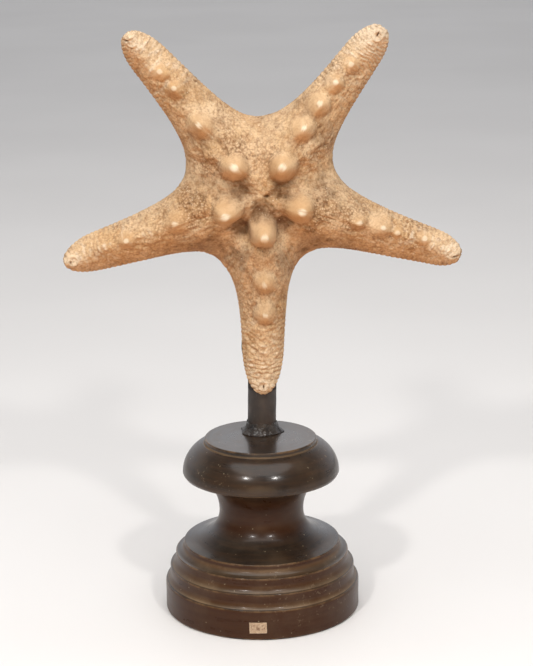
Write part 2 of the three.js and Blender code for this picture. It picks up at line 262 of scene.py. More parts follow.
# ------------------------------------------------------------------ the star's body


def tip_round(arm, along):
    past = np.clip((along - (arm.length - arm.tip)) / arm.tip, 0, None)
    return np.sqrt(np.clip(1 - past**2.4, 0, None))


def notches_beside(number):
    """The two notches beside an arm, seen from it: along, across, and the edge's slope."""
    found = []
    for angle, radius, facing in (NOTCHES[number - 1], NOTCHES[number]):
        away, turn = (
            abs((math.radians(a) - ARMS[number].angle + math.pi) % math.tau - math.pi)
            for a in (angle, facing)
        )
        found.append(SimpleNamespace(
            angle=math.radians(angle), radius=radius, along=radius * math.cos(away),
            across=radius * math.sin(away), slope=1 / math.tan(turn),
        ))
    return found


def half_width(arm, beside, along):
    def plain(at):
        return arm.half_width - arm.taper * (at - WIDTH_AT)

    web = beside.across - plain(beside.along)
    reach = 2 * web / (beside.slope - arm.taper)
    return (plain(along) + web / (1 + (along - beside.along) / reach) ** 2) * tip_round(arm, along)


def crest_height(along):
    fall = (DISC_HEIGHT - TIP_HEIGHT) / (1 + (along / HEIGHT_FALL) ** 2.2)
    return TIP_HEIGHT + fall - CENTRE_DIP * np.exp(-((along / CENTRE_DIP_RADIUS) ** 2))


def top_height(arm, along, share):
    ease = 0.16 + 0.2 * (1 - smooth(along, 15, 45))
    rounded = (np.sqrt(share**2 + ease**2) - ease) / (np.sqrt(1 + ease**2) - ease)
    profile = np.clip(1 - rounded**1.3, 0, None) ** 0.7
    return EDGE_HEIGHT + (crest_height(along) - EDGE_HEIGHT) * profile * tip_round(arm, along)


def floor_height(arm, along, share):
    round_off = tip_round(arm, along)
    edge = EDGE_HEIGHT * (1 - np.sqrt(1 - share**8) * round_off)
    deep = GROOVE_DEPTH + MOUTH_DEPTH * np.exp(-((along / MOUTH_RADIUS) ** 2))
    return edge + deep * np.clip(1 - share / GROOVE_SHARE, 0, None) * round_off


def placed(arm, along, across, up, bowed=1.0):
    """Points of an arm in the star's frame, bowed sideways and curled up at the tip."""
    stretch = np.clip((along - 15) / (arm.length - 15), 0, 1)
    sideways = across + bowed * arm.bow * np.sin(math.pi * stretch) ** 2
    turn = np.clip(along - (arm.length - CURL_REACH), 0, None) / CURL_RADIUS
    straight = np.minimum(along, arm.length - CURL_REACH)
    reach = straight + (CURL_RADIUS - up) * np.sin(turn)
    rise = CURL_RADIUS * (1 - np.cos(turn)) + up * np.cos(turn)
    c, s = math.cos(arm.angle), math.sin(arm.angle)
    return np.stack([reach * c - sideways * s, reach * s + sideways * c, rise], axis=-1)


def flank(number, side, columns, on_top):
    """One side of an arm's top or underside, as a grid of points with their arm measures."""
    arm = ARMS[number]
    both = notches_beside(number)
    beside = both[side]
    sign = (-1, 1)[side]
    share = np.linspace(0, 1, columns + 1)[None, :]
    if on_top:
        share = 1 - (1 - share) ** 1.15
    done = 1 - (1 - np.linspace(0, 1, ARM_ROWS + 1)[:, None]) ** ROW_CROWDING
    edge_along = beside.along + (arm.length - beside.along) * done
    foot = (both[0].along + both[1].along) / 2
    spine = (foot + (arm.length - foot) * done) * smooth(done, 0, WEB_SHARE)
    edge = half_width(arm, beside, edge_along)
    along = spine + (edge_along - spine) * share
    across = sign * edge * share
    if on_top:
        crest = arm.crest * smooth(done, 0.08, 0.5) * (1 - smooth(done, 0.72, 0.96))
        room = np.where(across > crest, edge - crest, edge + crest)
        ridge = np.clip(np.abs(across - crest) / np.maximum(room, 1e-6), 0, 1)
        up = top_height(arm, spine + 0 * share, np.where(edge > 1e-6, ridge, share))
    else:
        up = floor_height(arm, spine + 0 * share, share + 0 * spine)
    points = placed(arm, along, across, up, smooth(done, 0, 0.15))
    start = beside.radius * share[0]
    points[0] = np.stack([
        start * math.cos(beside.angle), start * math.sin(beside.angle),
        (top_height if on_top else floor_height)(arm, 0 * start, share[0]),
    ], axis=-1)
    facts = np.stack(np.broadcast_arrays(
        spine + 0 * share, across, share + 0 * spine, np.float64(number), np.float64(on_top),
    ), axis=-1)
    return points, facts


FACTS = ["along", "across", "share", "arm", "top"]


def star_sheet():
    """The closed skin before its relief, whose vertices carry FACTS."""
    points, facts, faces = [], [], []
    start = 0
    for number in range(len(ARMS)):
        for side in (0, 1):
            for on_top, columns in ((1, CREST_COLUMNS), (0, FLOOR_COLUMNS)):
                p, f = flank(number, side, columns, on_top)
                rows, width = p.shape[:2]
                grid = start + np.arange(rows * width).reshape(rows, width)
                quads = np.stack(
                    [grid[:-1, :-1], grid[1:, :-1], grid[1:, 1:], grid[:-1, 1:]], axis=-1
                ).reshape(-1, 4)
                faces.append(quads if side == on_top else quads[:, ::-1])
                points.append(p.reshape(-1, 3))
                facts.append(f.reshape(-1, len(FACTS)))
                start += rows * width
    mesh = bpy.data.meshes.new("star_skin")
    mesh.from_pydata(np.concatenate(points).tolist(), [], np.concatenate(faces).tolist())
    store(mesh, dict(zip(FACTS, np.concatenate(facts).T)))
    tidy(mesh, 0.02)
    return mesh


def store(mesh, facts):
    """Keeps named numbers on the mesh's vertices."""
    for name, values in facts.items():
        mesh.attributes.new(name, "FLOAT", "POINT").data.foreach_set(
            "value", values.astype(np.float32)
        )


def read(mesh, name):
    values = np.zeros(len(mesh.vertices), np.float32)
    mesh.attributes[name].data.foreach_get("value", values)
    return values.astype(float)


def measured(mesh):
    """The skin's points and normals, with the facts that were stored on them."""
    p, n = np.zeros(len(mesh.vertices) * 3), np.zeros(len(mesh.vertices) * 3)
    mesh.vertices.foreach_get("co", p)
    mesh.vertex_normals.foreach_get("vector", n)
    skin = SimpleNamespace(p=p.reshape(-1, 3), n=n.reshape(-1, 3))
    for name in FACTS:
        setattr(skin, name, read(mesh, name))
    skin.top = skin.top > 0.5
    skin.arm = np.rint(skin.arm).astype(int)
    skin.from_centre = np.hypot(skin.p[:, 0], skin.p[:, 1])
    return skin


def radii_from(p, x, y, radius):
    """Each point's distance from a spot, in the spot's radii."""
    return np.hypot(p[:, 0] - x, p[:, 1] - y) / radius


def patches(p, places):
    """How far each point lies in the given patches, whose edges are ragged."""
    found = np.zeros(len(p))
    ragged = 0.45 * cloud(p, 4.5, 2.7) + 0.3 * cloud(p, 2, 8.8)
    for x, y, radius, amount in places:
        apart = radii_from(p, x, y, radius) + ragged
        found = np.maximum(found, amount * (1 - smooth(apart, 0.45, 1.15)))
    return found


def knob_profile(r, steep):
    """Height of a knob, as a share, at a distance from its axis in knob radii."""
    return steep * np.clip(1 - r**2.3, 0, None) ** 0.85 + (1 - steep) * (1 - smooth(r, 0.1, 1.25))


def level_centre(skin):
    """Runs the five ridges out into one shallow saddle in the middle of the disc."""
    level = crest_height(skin.from_centre) - 0.9 * (skin.from_centre / 12) ** 2
    own = np.where(skin.top, smooth(skin.from_centre, 3, 16), 1)
    skin.p[:, 2] = level + (skin.p[:, 2] - level) * own
    skin.n = [0, 0, 1] + (skin.n - [0, 0, 1]) * own[:, None]


def raise_knobs(skin):
    """The knobs' lift, and masks of their bare sides, their nubs and the dip round each."""
    p = skin.p
    lift = np.zeros(p.shape)
    bare, crown, skirt = np.zeros((3, len(p)))
    for number, knobs in enumerate(KNOBS):
        arm = ARMS[number]
        outward = np.array([math.cos(arm.angle), math.sin(arm.angle), 0])
        sideward = np.array([-outward[1], outward[0], 0])
        for at, sideways, radius, height, *lean in knobs:
            kind = KNOB_KINDS["central" if lean else "outer"]
            nub = kind.nub / radius
            out_lean, side_lean = lean or (height * math.tan(KNOB_LEAN), 0)
            axis = (outward * out_lean + sideward * side_lean) / height + [0, 0, 1]
            foot = placed(arm, np.float64(at), np.float64(sideways), np.float64(0))
            ragged = 1 + 0.1 * cloud(p, radius * 0.8, number + at)
            r = np.where(skin.top, radii_from(p, foot[0], foot[1], radius * ragged), 9.0)
            rise = height * knob_profile(r, kind.steep)
            rise += (0.15 + 0.04 * height) * (1 - smooth(r, 0.7 * nub, 1.15 * nub))
            lift += axis * rise[:, None]
            on_nub = (1 - smooth(r, 0.75 * nub, 1.1 * nub)) * min(1, 0.4 + height / 8)
            bare = np.maximum(bare, (1 - smooth(r, 0.6, 1.1)) * kind.bare)
            crown = np.maximum(crown, on_nub)
            skirt = np.maximum(skirt, np.exp(-(((r - 1.1) / 0.2) ** 2)) * kind.skirt)
    return lift, bare, crown, skirt


def plate_rows(skin, bare):
    """Rows of overlapping plates on the outer arms, each row bowed towards the tip.

    Gives how far through its row each point is, how far its plate stands up, and how strongly
    the rows show there.
    """
    p, along, across = skin.p, skin.along, skin.across
    lowest, bleached = skin.arm == LOWEST_ARM, skin.arm == BLEACHED_ARM
    warp = 1.3 * cloud(p, 6.5, 3.1) + 0.8 * cloud(p, 2.4, 3.9)
    row = (along + 0.045 * across**2 + warp) / np.where(lowest, LOWEST_ROW_PITCH, ROW_PITCH)
    through = row - np.floor(row)
    column = across / PLATE_WIDTH + 0.5 * (np.floor(row) % 2) + 0.5 * cloud(p, 6, 9.7)
    off_middle = np.abs(2 * (column - np.floor(column)) - 1)
    plate = through**0.8 * (1 - smooth(through, 0.66, 1)) * (1 - 0.6 * off_middle**2)
    start = np.where(lowest, 60, 66)
    weight = smooth(along, start - 10, start + 8) * (1 - 0.75 * bare)
    weight *= np.where(lowest, 0.9, np.where(bleached, 0.85, 0.4))
    weight *= smooth(cloud(p, 5, 1.9), -0.7, 0.35)
    return through, plate, weight


def meshwork(p):
    """Struts with pits between them, smaller pits over those, and soft lumps under them all."""
    near, far, dice = plates(p, PIT_CELL)
    strut = 1 - smooth(far - near, 0.05, 0.35)
    pit = (1 - smooth(near, 0.16, 0.42)) * smooth(dice, 0.15, 0.75)
    near, far, dice = plates(p + 40, SMALL_PIT_CELL)
    small_pit = (1 - smooth(near, 0.2, 0.5)) * smooth(dice, 0.35, 0.8)
    lumps = 0.6 * cloud(p, 5.0) + 0.32 * cloud(p, 2.2, 5.5) + 0.2 * cloud(p, 1.1, 2.2)
    return strut, pit, small_pit, lumps


def ridge_scales(skin):
    scale = np.zeros(len(skin.p))
    for number, marks in enumerate(RIDGE_SCALES):
        for at, sideways in marks:
            a, c = skin.along - at, skin.across - sideways
            spot = ((a + 0.12 * c**2) / 0.85) ** 2 + (c / 1.9) ** 2
            scale = np.maximum(scale, np.exp(-(spot**1.5)) * (skin.arm == number) * skin.top)
    return scale


def tip_folds(skin):
    """At each tip: a last ring of plates, the end inside it, and the slit in the middle."""
    length = np.array([a.length for a in ARMS])[skin.arm]
    reach = np.hypot(skin.along - (length - 4.2), skin.across * 1.1)
    ring = np.exp(-(((reach - 2.5) / 0.75) ** 2)) * skin.top
    end = np.exp(-((reach / 4.4) ** 2)) * skin.top
    slit = np.zeros(len(skin.p))
    for number, (at, sideways, turn, reach) in enumerate(TIP_SLITS):
        u, v = skin.along - ARMS[number].length - at, skin.across - sideways
        c, s = math.cos(math.radians(turn)), math.sin(math.radians(turn))
        u, v = u * c + v * s, v * c - u * s
        cut = np.exp(-((u / reach) ** 2) - (v / 0.4) ** 2)
        slit = np.maximum(slit, cut * (skin.arm == number) * skin.top)
    return ring, end, slit


def underside(skin, rim):
    """A pavement of small plates, ribs across each arm's groove, and the mouth: relief, and a mask of
    dark joints with painted shade in the rib gaps and the mouth.
    """
    near, far, _ = plates(skin.p + 90, PAVING_CELL)
    joint = 1 - smooth(far - near, 0.02, 0.3)
    groove = 1 - smooth(skin.share, GROOVE_SHARE * 0.7, GROOVE_SHARE * 1.1)
    rib_gap = 1 - np.abs(np.sin(math.pi * skin.along / RIB_PITCH)) ** 0.7
    mouth = np.exp(-((skin.from_centre / 4.2) ** 2))
    relief = smooth(skin.share, 0.9, 1.0) * -0.1 - rim * (
        0.42 * joint * (1 - groove) + 0.12 + 0.45 * rib_gap * groove + 2.4 * mouth
    )
    return relief, 0.7 * joint + 0.5 * groove * rib_gap + mouth


def star_relief(mesh):
    """Raises the knobs, plates and pits, and stores the masks that the skin's material reads."""
    skin = measured(mesh)
    level_centre(skin)
    p, top, along, share = skin.p, skin.top, skin.along, skin.share
    lift, bare, crown, skirt = raise_knobs(skin)
    through, plate, rows = plate_rows(skin, bare)
    strut, pit, small_pit, lumps = meshwork(p)
    near_in = (1 - bare) * (1 - 0.6 * smooth(along, 58, 82))
    crust, soil_and_shade = patches(p, CRUSTS) * top, patches(p, SOILED_AND_SHADED) * top
    dip = np.zeros(len(p))
    for x, y, radius, depth in HOLLOWS:
        dip += depth * np.exp(-(radii_from(p, x, y, radius) ** 2)) * (1 - 0.9 * bare)
    *pore_place, pore_depth = CENTRAL_PORE
    pore = np.exp(-(radii_from(p, *pore_place) ** 2)) * top
    *sieve_place, sieve_rise = SIEVE_PLATE
    sieve = np.exp(-(radii_from(p, *sieve_place) ** 4)) * top
    scale = ridge_scales(skin)
    ring, end, slit = tip_folds(skin)

    # Plates along both margins of an arm cut small teeth into its outline.
    margin = smooth(share, 0.62, 0.92)
    tooth = np.abs(np.sin(math.pi * (along + 0.25 * cloud(p, 4, 8)) / TOOTH_PITCH))
    notch = (1 - tooth) ** 1.6 * margin * smooth(skin.from_centre, 30, 44)

    rim = 1 - share**10
    relief = top * rim * (
        rows * 0.62 * (plate - 0.35)
        + near_in * (0.2 * strut - (0.3 + 0.3 * soil_and_shade) * pit - (0.25 + 0.35 * crust) * small_pit)
        + (1 - 0.75 * bare) * lumps * (0.9 + 0.5 * crust) * (1 - 0.3 * smooth(along, 60, 80))
        - dip - 0.5 * skirt * (1 - bare)
        + sieve * sieve_rise + 0.5 * scale + 0.55 * ring - 0.25 * end
    ) - pore_depth * pore - 1.7 * slit - 0.42 * notch * (top * 0.6 + 0.4)
    below, dark_joints_and_shade_below = underside(skin, rim)
    relief = np.where(top, relief, below - 0.3 * notch)
    p = p + skin.n * relief[:, None] + lift * rim[:, None]
    p[:, 2] = np.maximum(p[:, 2], 0.02)

    patch = 0.5 + 0.5 * cloud(p, 11, 6.6)
    fine = 0.5 + 0.5 * cloud(p, 1.4, 4.4)
    # Brown dirt in the pits and soiled patches, together with painted shade: the hollows, the dip
    # round each knob, the back of each plate row, the gaps between the margin teeth, the tip slits,
    # the central pore and the low lumps are darkened.
    grime_and_shade = np.where(top, (
        near_in * (
            (0.2 + 0.4 * soil_and_shade) * pit + (0.15 + 0.4 * crust) * small_pit + 0.25 * patch * fine
        )
        + 0.7 * soil_and_shade * (1 - 0.8 * bare) * (0.75 + 0.25 * fine) + 0.12 * np.clip(dip, 0, 2.4)
        + 0.25 * skirt * (1 - bare) * patch
        + rows * 0.15 * smooth(through, 0.75, 1.0)
        + 0.35 * notch + 1.2 * slit + pore + 0.3 * np.clip(-lumps, 0, 1)
    ), dark_joints_and_shade_below)
    spread_out = np.stack([along * 1.3, skin.across * 0.75, 40.0 * skin.arm], axis=1)
    scattered = cloud(spread_out, 1.9, 5.1)
    bleached = skin.arm == BLEACHED_ARM
    pale = (
        0.6 * smooth(scattered, 0.15, 0.6) * smooth(along, 52, 72) * top * (1 - 0.5 * margin)
        + 0.8 * scale + 0.75 * end + 0.35 * rows * plate * bleached
        + 0.45 * smooth(along, 74, 92) * bleached
        + 0.2 * smooth(along, 80, 96) + 0.25 * strut * fine * near_in
    )
    mesh.vertices.foreach_set("co", p.ravel())
    mesh.update()
    mesh.vertex_normals.foreach_get("vector", facing := np.zeros(p.size))
    # Painted shade: faces that look down are marked here, to be darkened and warmed in the skin's
    # colour.
    painted_underside_shade = smooth(-facing.reshape(-1, 3)[:, 1], -0.25, 0.7)
    for name in FACTS:
        mesh.attributes.remove(mesh.attributes[name])
    masks = {
        "grime_and_shade": grime_and_shade, "crown": crown, "pale": pale, "bare": bare, "painted_underside_shade": painted_underside_shade,
        "crust": crust,
    }
    store(mesh, {name: np.clip(mask, 0, 1) for name, mask in masks.items()})


# ------------------------------------------------------------------ putting pieces in place


def in_mount(points):
    """From the post's own leaning frame to the row's frame, in millimetres."""
    points = np.asarray(points, float)
    x, y, z = points[..., 0], points[..., 1], points[..., 2]
    c, s = math.cos(POST_LEAN), math.sin(POST_LEAN)
    return np.stack([x * c + z * s + POST_OFFSET, y + POST_SETBACK, z * c - x * s + DISC_TOP], axis=-1)


def star_in_mount(points):
    x, y, z = (points[..., i] * STAR_SIZE for i in range(3))
    return in_mount(np.stack([x + STAR_ACROSS, -z - STAR_FRONT_OFFSET, y + STAR_HEIGHT], axis=-1))


def move_vertices(mesh, place):
    """Runs place over the mesh's vertices in millimetres, and leaves them in metres."""
    p = np.zeros(len(mesh.vertices) * 3)
    mesh.vertices.foreach_get("co", p)
    mesh.vertices.foreach_set("co", (place(p.reshape(-1, 3)) * MM).ravel())
    mesh.update()


def tidy(mesh, merge):
    work = bmesh.new()
    work.from_mesh(mesh)
    bmesh.ops.remove_doubles(work, verts=work.verts, dist=merge)
    bmesh.ops.recalc_face_normals(work, faces=work.faces)
    work.to_mesh(mesh)
    work.free()


def finished(mesh, name, material, slot, *nodes):
    """The mesh as a piece that stands for CAD nodes."""
    mesh.shade_smooth()
    mesh.materials.clear()
    mesh.materials.append(material)
    piece = bpy.data.objects.new(name, mesh)
    bpy.context.scene.collection.objects.link(piece)
    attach(piece, "root")
    if nodes:
        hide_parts(*nodes)
    return piece


def sea_star(material):
    mesh = star_sheet()
    star_relief(mesh)
    move_vertices(mesh, star_in_mount)
    return finished(mesh, "star_skin", material, "starfish", "starfish")


# ------------------------------------------------------------------ turned work


def bezier(start, pull_out, pull_in, end, steps=24):
    t = np.linspace(0, 1, steps + 1)[1:, None]
    a, b, c, d = (np.array(point, float) for point in (start, pull_out, pull_in, end))
    u = 1 - t
    return (u**3 * a + 3 * u * u * t * b + 3 * u * t * t * c + t**3 * d).tolist()


def cove(arris, foot):
    """A quarter hollow between an edge and the foot of the next wall in."""
    turn = np.linspace(0, math.pi / 2, COVE_STEPS + 1)[1:]
    r = arris[0] - (arris[0] - foot[0]) * np.sin(turn)
    z = foot[1] - (foot[1] - arris[1]) * np.cos(turn)
    return np.stack([r, z], axis=1).tolist()


def eased(profile, radius):
    """The profile with its sharp corners rubbed round."""
    points = [np.array(p, float) for p in profile]
    out = [points[0]]
    for before, corner, after in zip(points, points[1:], points[2:]):
        back, on = before - corner, after - corner
        length_back, length_on = np.linalg.norm(back), np.linalg.norm(on)
        cosine = -(back @ on) / (length_back * length_on)
        if cosine > math.cos(math.radians(14)):
            out.append(corner)
            continue
        start = corner + back / length_back * min(radius, length_back * 0.45)
        end = corner + on / length_on * min(radius, length_on * 0.45)
        for t in np.linspace(0, 1, 6):
            out.append((1 - t) ** 2 * start + 2 * t * (1 - t) * corner + t * t * end)
    out.append(points[-1])
    return np.array(out)


def respaced(profile, spacing):
    """The same line with its long straights divided."""
    out = [profile[0]]
    for a, b in zip(profile, profile[1:]):
        steps = max(1, math.ceil(np.linalg.norm(b - a) / spacing))
        out += [a + (b - a) * (i + 1) / steps for i in range(steps)]
    return np.array(out)


def edges_of(profile):
    """How far each point of a profile is on an outward edge, in an inner corner, and upright."""
    lengths = np.append(0, np.cumsum(np.linalg.norm(np.diff(profile, axis=0), axis=1)))

    def at(s):
        return np.stack([np.interp(s, lengths, profile[:, i]) for i in (0, 1)], axis=1)

    back = at(lengths) - at(lengths - EDGE_REACH)
    on = at(lengths + EDGE_REACH) - at(lengths)
    turn = back[:, 0] * on[:, 1] - back[:, 1] * on[:, 0]
    turn /= np.linalg.norm(back, axis=1) * np.linalg.norm(on, axis=1) + 1e-9
    along = back + on
    upright = np.abs(along[:, 1]) / (np.linalg.norm(along, axis=1) + 1e-9)
    return np.clip(turn, 0, 1), np.clip(-turn, 0, 1), upright


def lean_of_bore(points):
    """Moves the post's hole back and leans it, and leaves everything further out."""
    r = np.hypot(points[:, 0], points[:, 1])
    near_bore = np.clip((BORE_REACH - r) / (BORE_REACH - POST_RADIUS - GAP), 0, 1)
    weight = near_bore * (points[:, 2] > BORE_ABOVE)
    out = points.copy()
    out[:, 0] += weight * (POST_OFFSET + (points[:, 2] - DISC_TOP) * math.tan(POST_LEAN))
    out[:, 1] += weight * POST_SETBACK
    return out


def turning(name, profile, material, node, ease):
    """A turned piece, with attributes for its worn edges, dusty corners and upright walls."""
    segments = TURNING_SEGMENTS
    line = respaced(eased(profile, ease), RING_SPACING)
    turn = np.linspace(0, math.tau, segments, endpoint=False)
    ring = np.stack([np.cos(turn), np.sin(turn)], axis=1)
    points = np.concatenate(
        [line[:, None, :1] * ring[None], np.repeat(line[:, 1:, None], segments, axis=1)], axis=2
    )
    mesh = grid_mesh(name, points, caps=False)
    facts = zip(("arris", "nook", "upright"), edges_of(line))
    store(mesh, {label: np.repeat(values, segments) for label, values in facts})
    tidy(mesh, 0.001)
    move_vertices(mesh, lean_of_bore)
    return finished(mesh, name, material, "ebonised_wood", node)


def pedestal(material):
    """The lower turning, from [radius, height] points: plinth, three steps, neck and flare."""
    bore = POST_RADIUS + GAP
    top = SEAM_HEIGHT - GAP / 2
    floor = DISC_TOP + POST_FOOT - 1
    profile = [[0, 0], [PLINTH_RADIUS - 0.6, 0], [PLINTH_RADIUS, 0.8],
               [PLINTH_RADIUS, PLINTH_TOP - 1], [PLINTH_RADIUS - 0.3, PLINTH_TOP]]
    for radius, foot, wall_top in STEPS:
        profile += [*cove(profile[-1], (radius, foot)), [radius, wall_top]]
    profile += bezier(profile[-1], (30, 38), (NECK[0], 42.5), NECK, 34)
    profile += bezier(NECK, (NECK[0], 60), (25.5, 66.5), (FLARE_RADIUS, top))
    profile += [[bore, top], [bore, floor], [0, floor]]
    return turning("stand_pedestal_turning", profile, material, "stand_pedestal", 0.55)


def capital(material):
    """The upper turning: the bun, and the disc on top of it."""
    bore = POST_RADIUS + GAP
    low = SEAM_HEIGHT + GAP / 2
    turn = np.linspace(0, math.radians(BUN["turn"]), 30)
    bun = np.stack([
        BUN["centre"] + (BUN_RADIUS - BUN["centre"]) * np.cos(turn),
        BUN["equator"] + BUN["rise"] * np.sin(turn),
    ], axis=1).tolist()
    profile = [[bore, low], [BUN_RADIUS - 0.9, low], *bun, [DISC_RADIUS + 0.1, DISC_FOOT],
               [DISC_RADIUS, DISC_TOP - 0.4], [DISC_RADIUS - 0.4, DISC_TOP],
               [bore, DISC_TOP], [bore, low]]
    return turning("stand_capital_turning", profile, material, "stand_capital", 0.5)


# ------------------------------------------------------------------ post, mastic and label


def grid_mesh(name, points, caps=True):
    """A mesh over rows of points, closed round each row, and capped at both ends if asked."""
    rows, width = points.shape[:2]
    grid = np.arange(rows * width).reshape(rows, width)
    beside = np.roll(grid, -1, axis=1)
    faces = np.stack([grid[:-1], beside[:-1], beside[1:], grid[1:]], axis=-1)
    faces = faces.reshape(-1, 4).tolist()
    if caps:
        faces += [grid[0, ::-1].tolist(), grid[-1].tolist()]
    mesh = bpy.data.meshes.new(name)
    mesh.from_pydata(points.reshape(-1, 3).tolist(), [], faces)
    return mesh


def post(material):
    """A round rod, filed flat on its front above the shoulder."""
    ends = np.array([0, 0.12, 0.35, 0.8])
    z = np.concatenate([
        POST_FOOT + ends, np.arange(POST_FOOT + 2, POST_SHOULDER, 1.0),
        POST_SHOULDER + np.array([0, 0.3, 0.7, 1.2, 2]),
        np.arange(POST_SHOULDER + 4, POST_TOP - 1, 2.0), POST_TOP - ends[::-1],
    ])
    rubbed = np.array([0.8, 0.4, 0.15, 0])
    inset = np.zeros(len(z))
    inset[:4], inset[-4:] = rubbed, rubbed[::-1]
    turn = np.linspace(0, math.tau, 72, endpoint=False)
    radius = (POST_RADIUS - inset)[:, None]
    x = radius * np.cos(turn)[None]
    y = radius * np.sin(turn)[None]
    points = np.stack([x, y, z[:, None] + 0 * x], axis=-1)
    flat = smooth(z, POST_SHOULDER - 0.1, POST_SHOULDER + 1.2)[:, None]
    face = -POST_RADIUS + (TONGUE_FACE + POST_RADIUS) * flat
    points[..., 1] = np.maximum(points[..., 1], face)
    wobble = cloud(points.reshape(-1, 3), 9, 1.7).reshape(x.shape) * 0.06
    points[..., :2] *= (1 - np.abs(wobble) / POST_RADIUS)[..., None]
    mesh = grid_mesh("post", points)
    tidy(mesh, 0.001)
    move_vertices(mesh, in_mount)
    return finished(mesh, "post", material, "post", "mount_post")


def collar(material):
    """Mastic pushed in round the post's foot with a knife: a lumpy, crumpled fillet."""
    bore = POST_RADIUS + GAP
    turn = np.linspace(0, math.tau, 160, endpoint=False)
    around = np.stack([np.cos(turn), np.sin(turn), 0 * turn], axis=1)
    thin_in_front = 1.3 * np.clip(-np.sin(turn), 0, 1) ** 2
    reach = COLLAR["radius"] - 0.7 - thin_in_front + 0.5 * np.sin(3 * turn + 1)
    reach += 1.2 * cloud(around * 9, 2.4, 0.3)
    climb = COLLAR["height"] - 0.7 + 1.2 * cloud(around * 8, 2.7, 7.3)
    share = np.linspace(0, 1, 34)[:, None]
    rise = (1 - share) ** 1.9
    r = bore + (np.maximum(reach, bore + 1.2)[None] - bore) * share
    z = GAP + climb[None] * rise + 0.5 * (1 - share**8) * np.minimum(1, 14 * (1 - share))
    flat = np.stack([r * np.cos(turn), r * np.sin(turn), z], axis=-1).reshape(-1, 3)
    near, far, dice = plates(flat, 3.6)
    crumple = 1.5 * (dice - 0.5) + 0.9 * (far - near) + 0.5 * cloud(flat, 2.1, 2.9) - 0.3
    fade = (np.sin(math.pi * np.clip(share * 0.94 + 0.04, 0, 1)) ** 0.6 * (1 - 0.6 * share)
            + 0 * r).ravel()
    flat[:, 2] = np.clip(flat[:, 2] + crumple * fade, GAP, GAP + COLLAR["height"] - 0.3)
    outside = flat.reshape(*r.shape, 3)
    foot, inner = outside[-1:].copy(), outside[:1].copy()
    foot[..., 2] = inner[..., 2] = GAP
    mesh = grid_mesh("collar", np.concatenate([inner, outside, foot, inner]), caps=False)
    tidy(mesh, 0.001)
    move_vertices(mesh, lambda p: p + [POST_OFFSET, POST_SETBACK, DISC_TOP])
    return finished(mesh, "mastic_collar", material, "mastic", "foot_filler")


def bedding(material):
    """The mastic between the post's tongue and the arm, squeezed out along both sides."""
    width, low, high = PAD["width"] / 2, PAD["bottom"], PAD["top"]
    turn = np.linspace(0, math.tau, 180, endpoint=False)
    c, s = np.cos(turn), np.sin(turn)
    boxy = (np.abs(c) ** 9 + np.abs(s) ** 9) ** (-1 / 9)
    x, z = width * c * boxy, (high - low) / 2 * s * boxy
    ripple = 0.5 + 0.5 * cloud(np.stack([x, 0 * x, z], axis=1), 6.5, 4.1)
    narrow = 0.22 * smooth(-z, 9, 21) + 0.1 * smooth(z, 14, 21)
    bulge = 0.07 * np.exp(-(((z - 11) / 3) ** 2)) * (x < 0)
    squeeze = 1 - 0.9 * ripple / width - narrow + bulge
    depth = PAD["back"] - PAD["front"]
    rows = []
    for inset, forward in (
        (1, 0), (0.25, 0), (0.06, 0.03), (0.02, 0.14), (0, 0.32), (0, 0.68), (0.02, 0.86),
        (0.06, 0.97), (0.25, 1), (1, 1),
    ):
        size = 1 - inset
        rows.append(np.stack([
            x * squeeze * size, PAD["back"] - depth * forward + 0 * x,
            (low + high) / 2 + z * size,
        ], axis=1))
    mesh = grid_mesh("bedding", np.stack(rows), caps=False)
    tidy(mesh, 0.001)
    move_vertices(mesh, in_mount)
    return finished(mesh, "mastic_bedding", material, "mastic", "arm_bedding")


def label(material):
    """A slip of paper glued round the plinth, a little askew, with its edges rubbed."""
    inner, outer = PLINTH_RADIUS + GAP, PLINTH_RADIUS + GAP + LABEL["thickness"]
    c, s = math.cos(LABEL_TILT), math.sin(LABEL_TILT)
    u, v = np.meshgrid(np.linspace(-0.5, 0.5, 47), np.linspace(-0.5, 0.5, 33))
    rows, columns = u.shape
    x, z = u * (LABEL["width"] - 0.3), v * (LABEL["height"] - 0.35)

    def ripple(size, shift=0.0):
        spots = np.stack([x.ravel(), z.ravel(), 0 * x.ravel()], axis=1)
        return cloud(spots, size, shift).reshape(x.shape)

    ragged = 0.02 * (ripple(1.1) + 1)
    x = x * (1 - ragged * (np.abs(u) > 0.49))
    z = z * (1 - ragged * (np.abs(v) > 0.485))
    x, z = x * c - z * s, x * s + z * c
    lifted = 0.5 + 0.5 * np.clip(ripple(2.4, 3), -1, 1)
    angle = -math.pi / 2 + (x + LABEL["across"]) / outer
    work = bmesh.new()
    uv = work.loops.layers.uv.new("UVMap")
    sheets = []
    for radius in (outer - 0.08 * lifted, inner + 0 * x):
        points = np.stack(
            [radius * np.cos(angle), radius * np.sin(angle), LABEL["middle"] + z], axis=-1
        )
        sheets.append([[work.verts.new(p) for p in row] for row in points])

    def quad(*corners):
        face = work.faces.new([sheets[k][i][j] for k, i, j in corners])
        for loop, (_, i, j) in zip(face.loops, corners):
            loop[uv].uv = (u[i, j] + 0.5, v[i, j] + 0.5)

    for i in range(rows - 1):
        for j in range(columns - 1):
            square = [(i, j), (i, j + 1), (i + 1, j + 1), (i + 1, j)]
            quad(*[(0, *at) for at in square])
            quad(*[(1, *at) for at in square[::-1]])
    border = [(0, j) for j in range(columns)] + [(i, columns - 1) for i in range(1, rows)]
    border += [(rows - 1, j) for j in range(columns - 2, -1, -1)]
    border += [(i, 0) for i in range(rows - 2, 0, -1)]
    for a, b in zip(border, border[1:] + border[:1]):
        quad((0, *b), (0, *a), (1, *a), (1, *b))
    mesh = bpy.data.meshes.new("label")
    work.to_mesh(mesh)
    work.free()
    move_vertices(mesh, lambda p: p)
    return finished(mesh, "paper_slip", material, "label_paper", "paper_label")


# ------------------------------------------------------------------ spines along the grooves


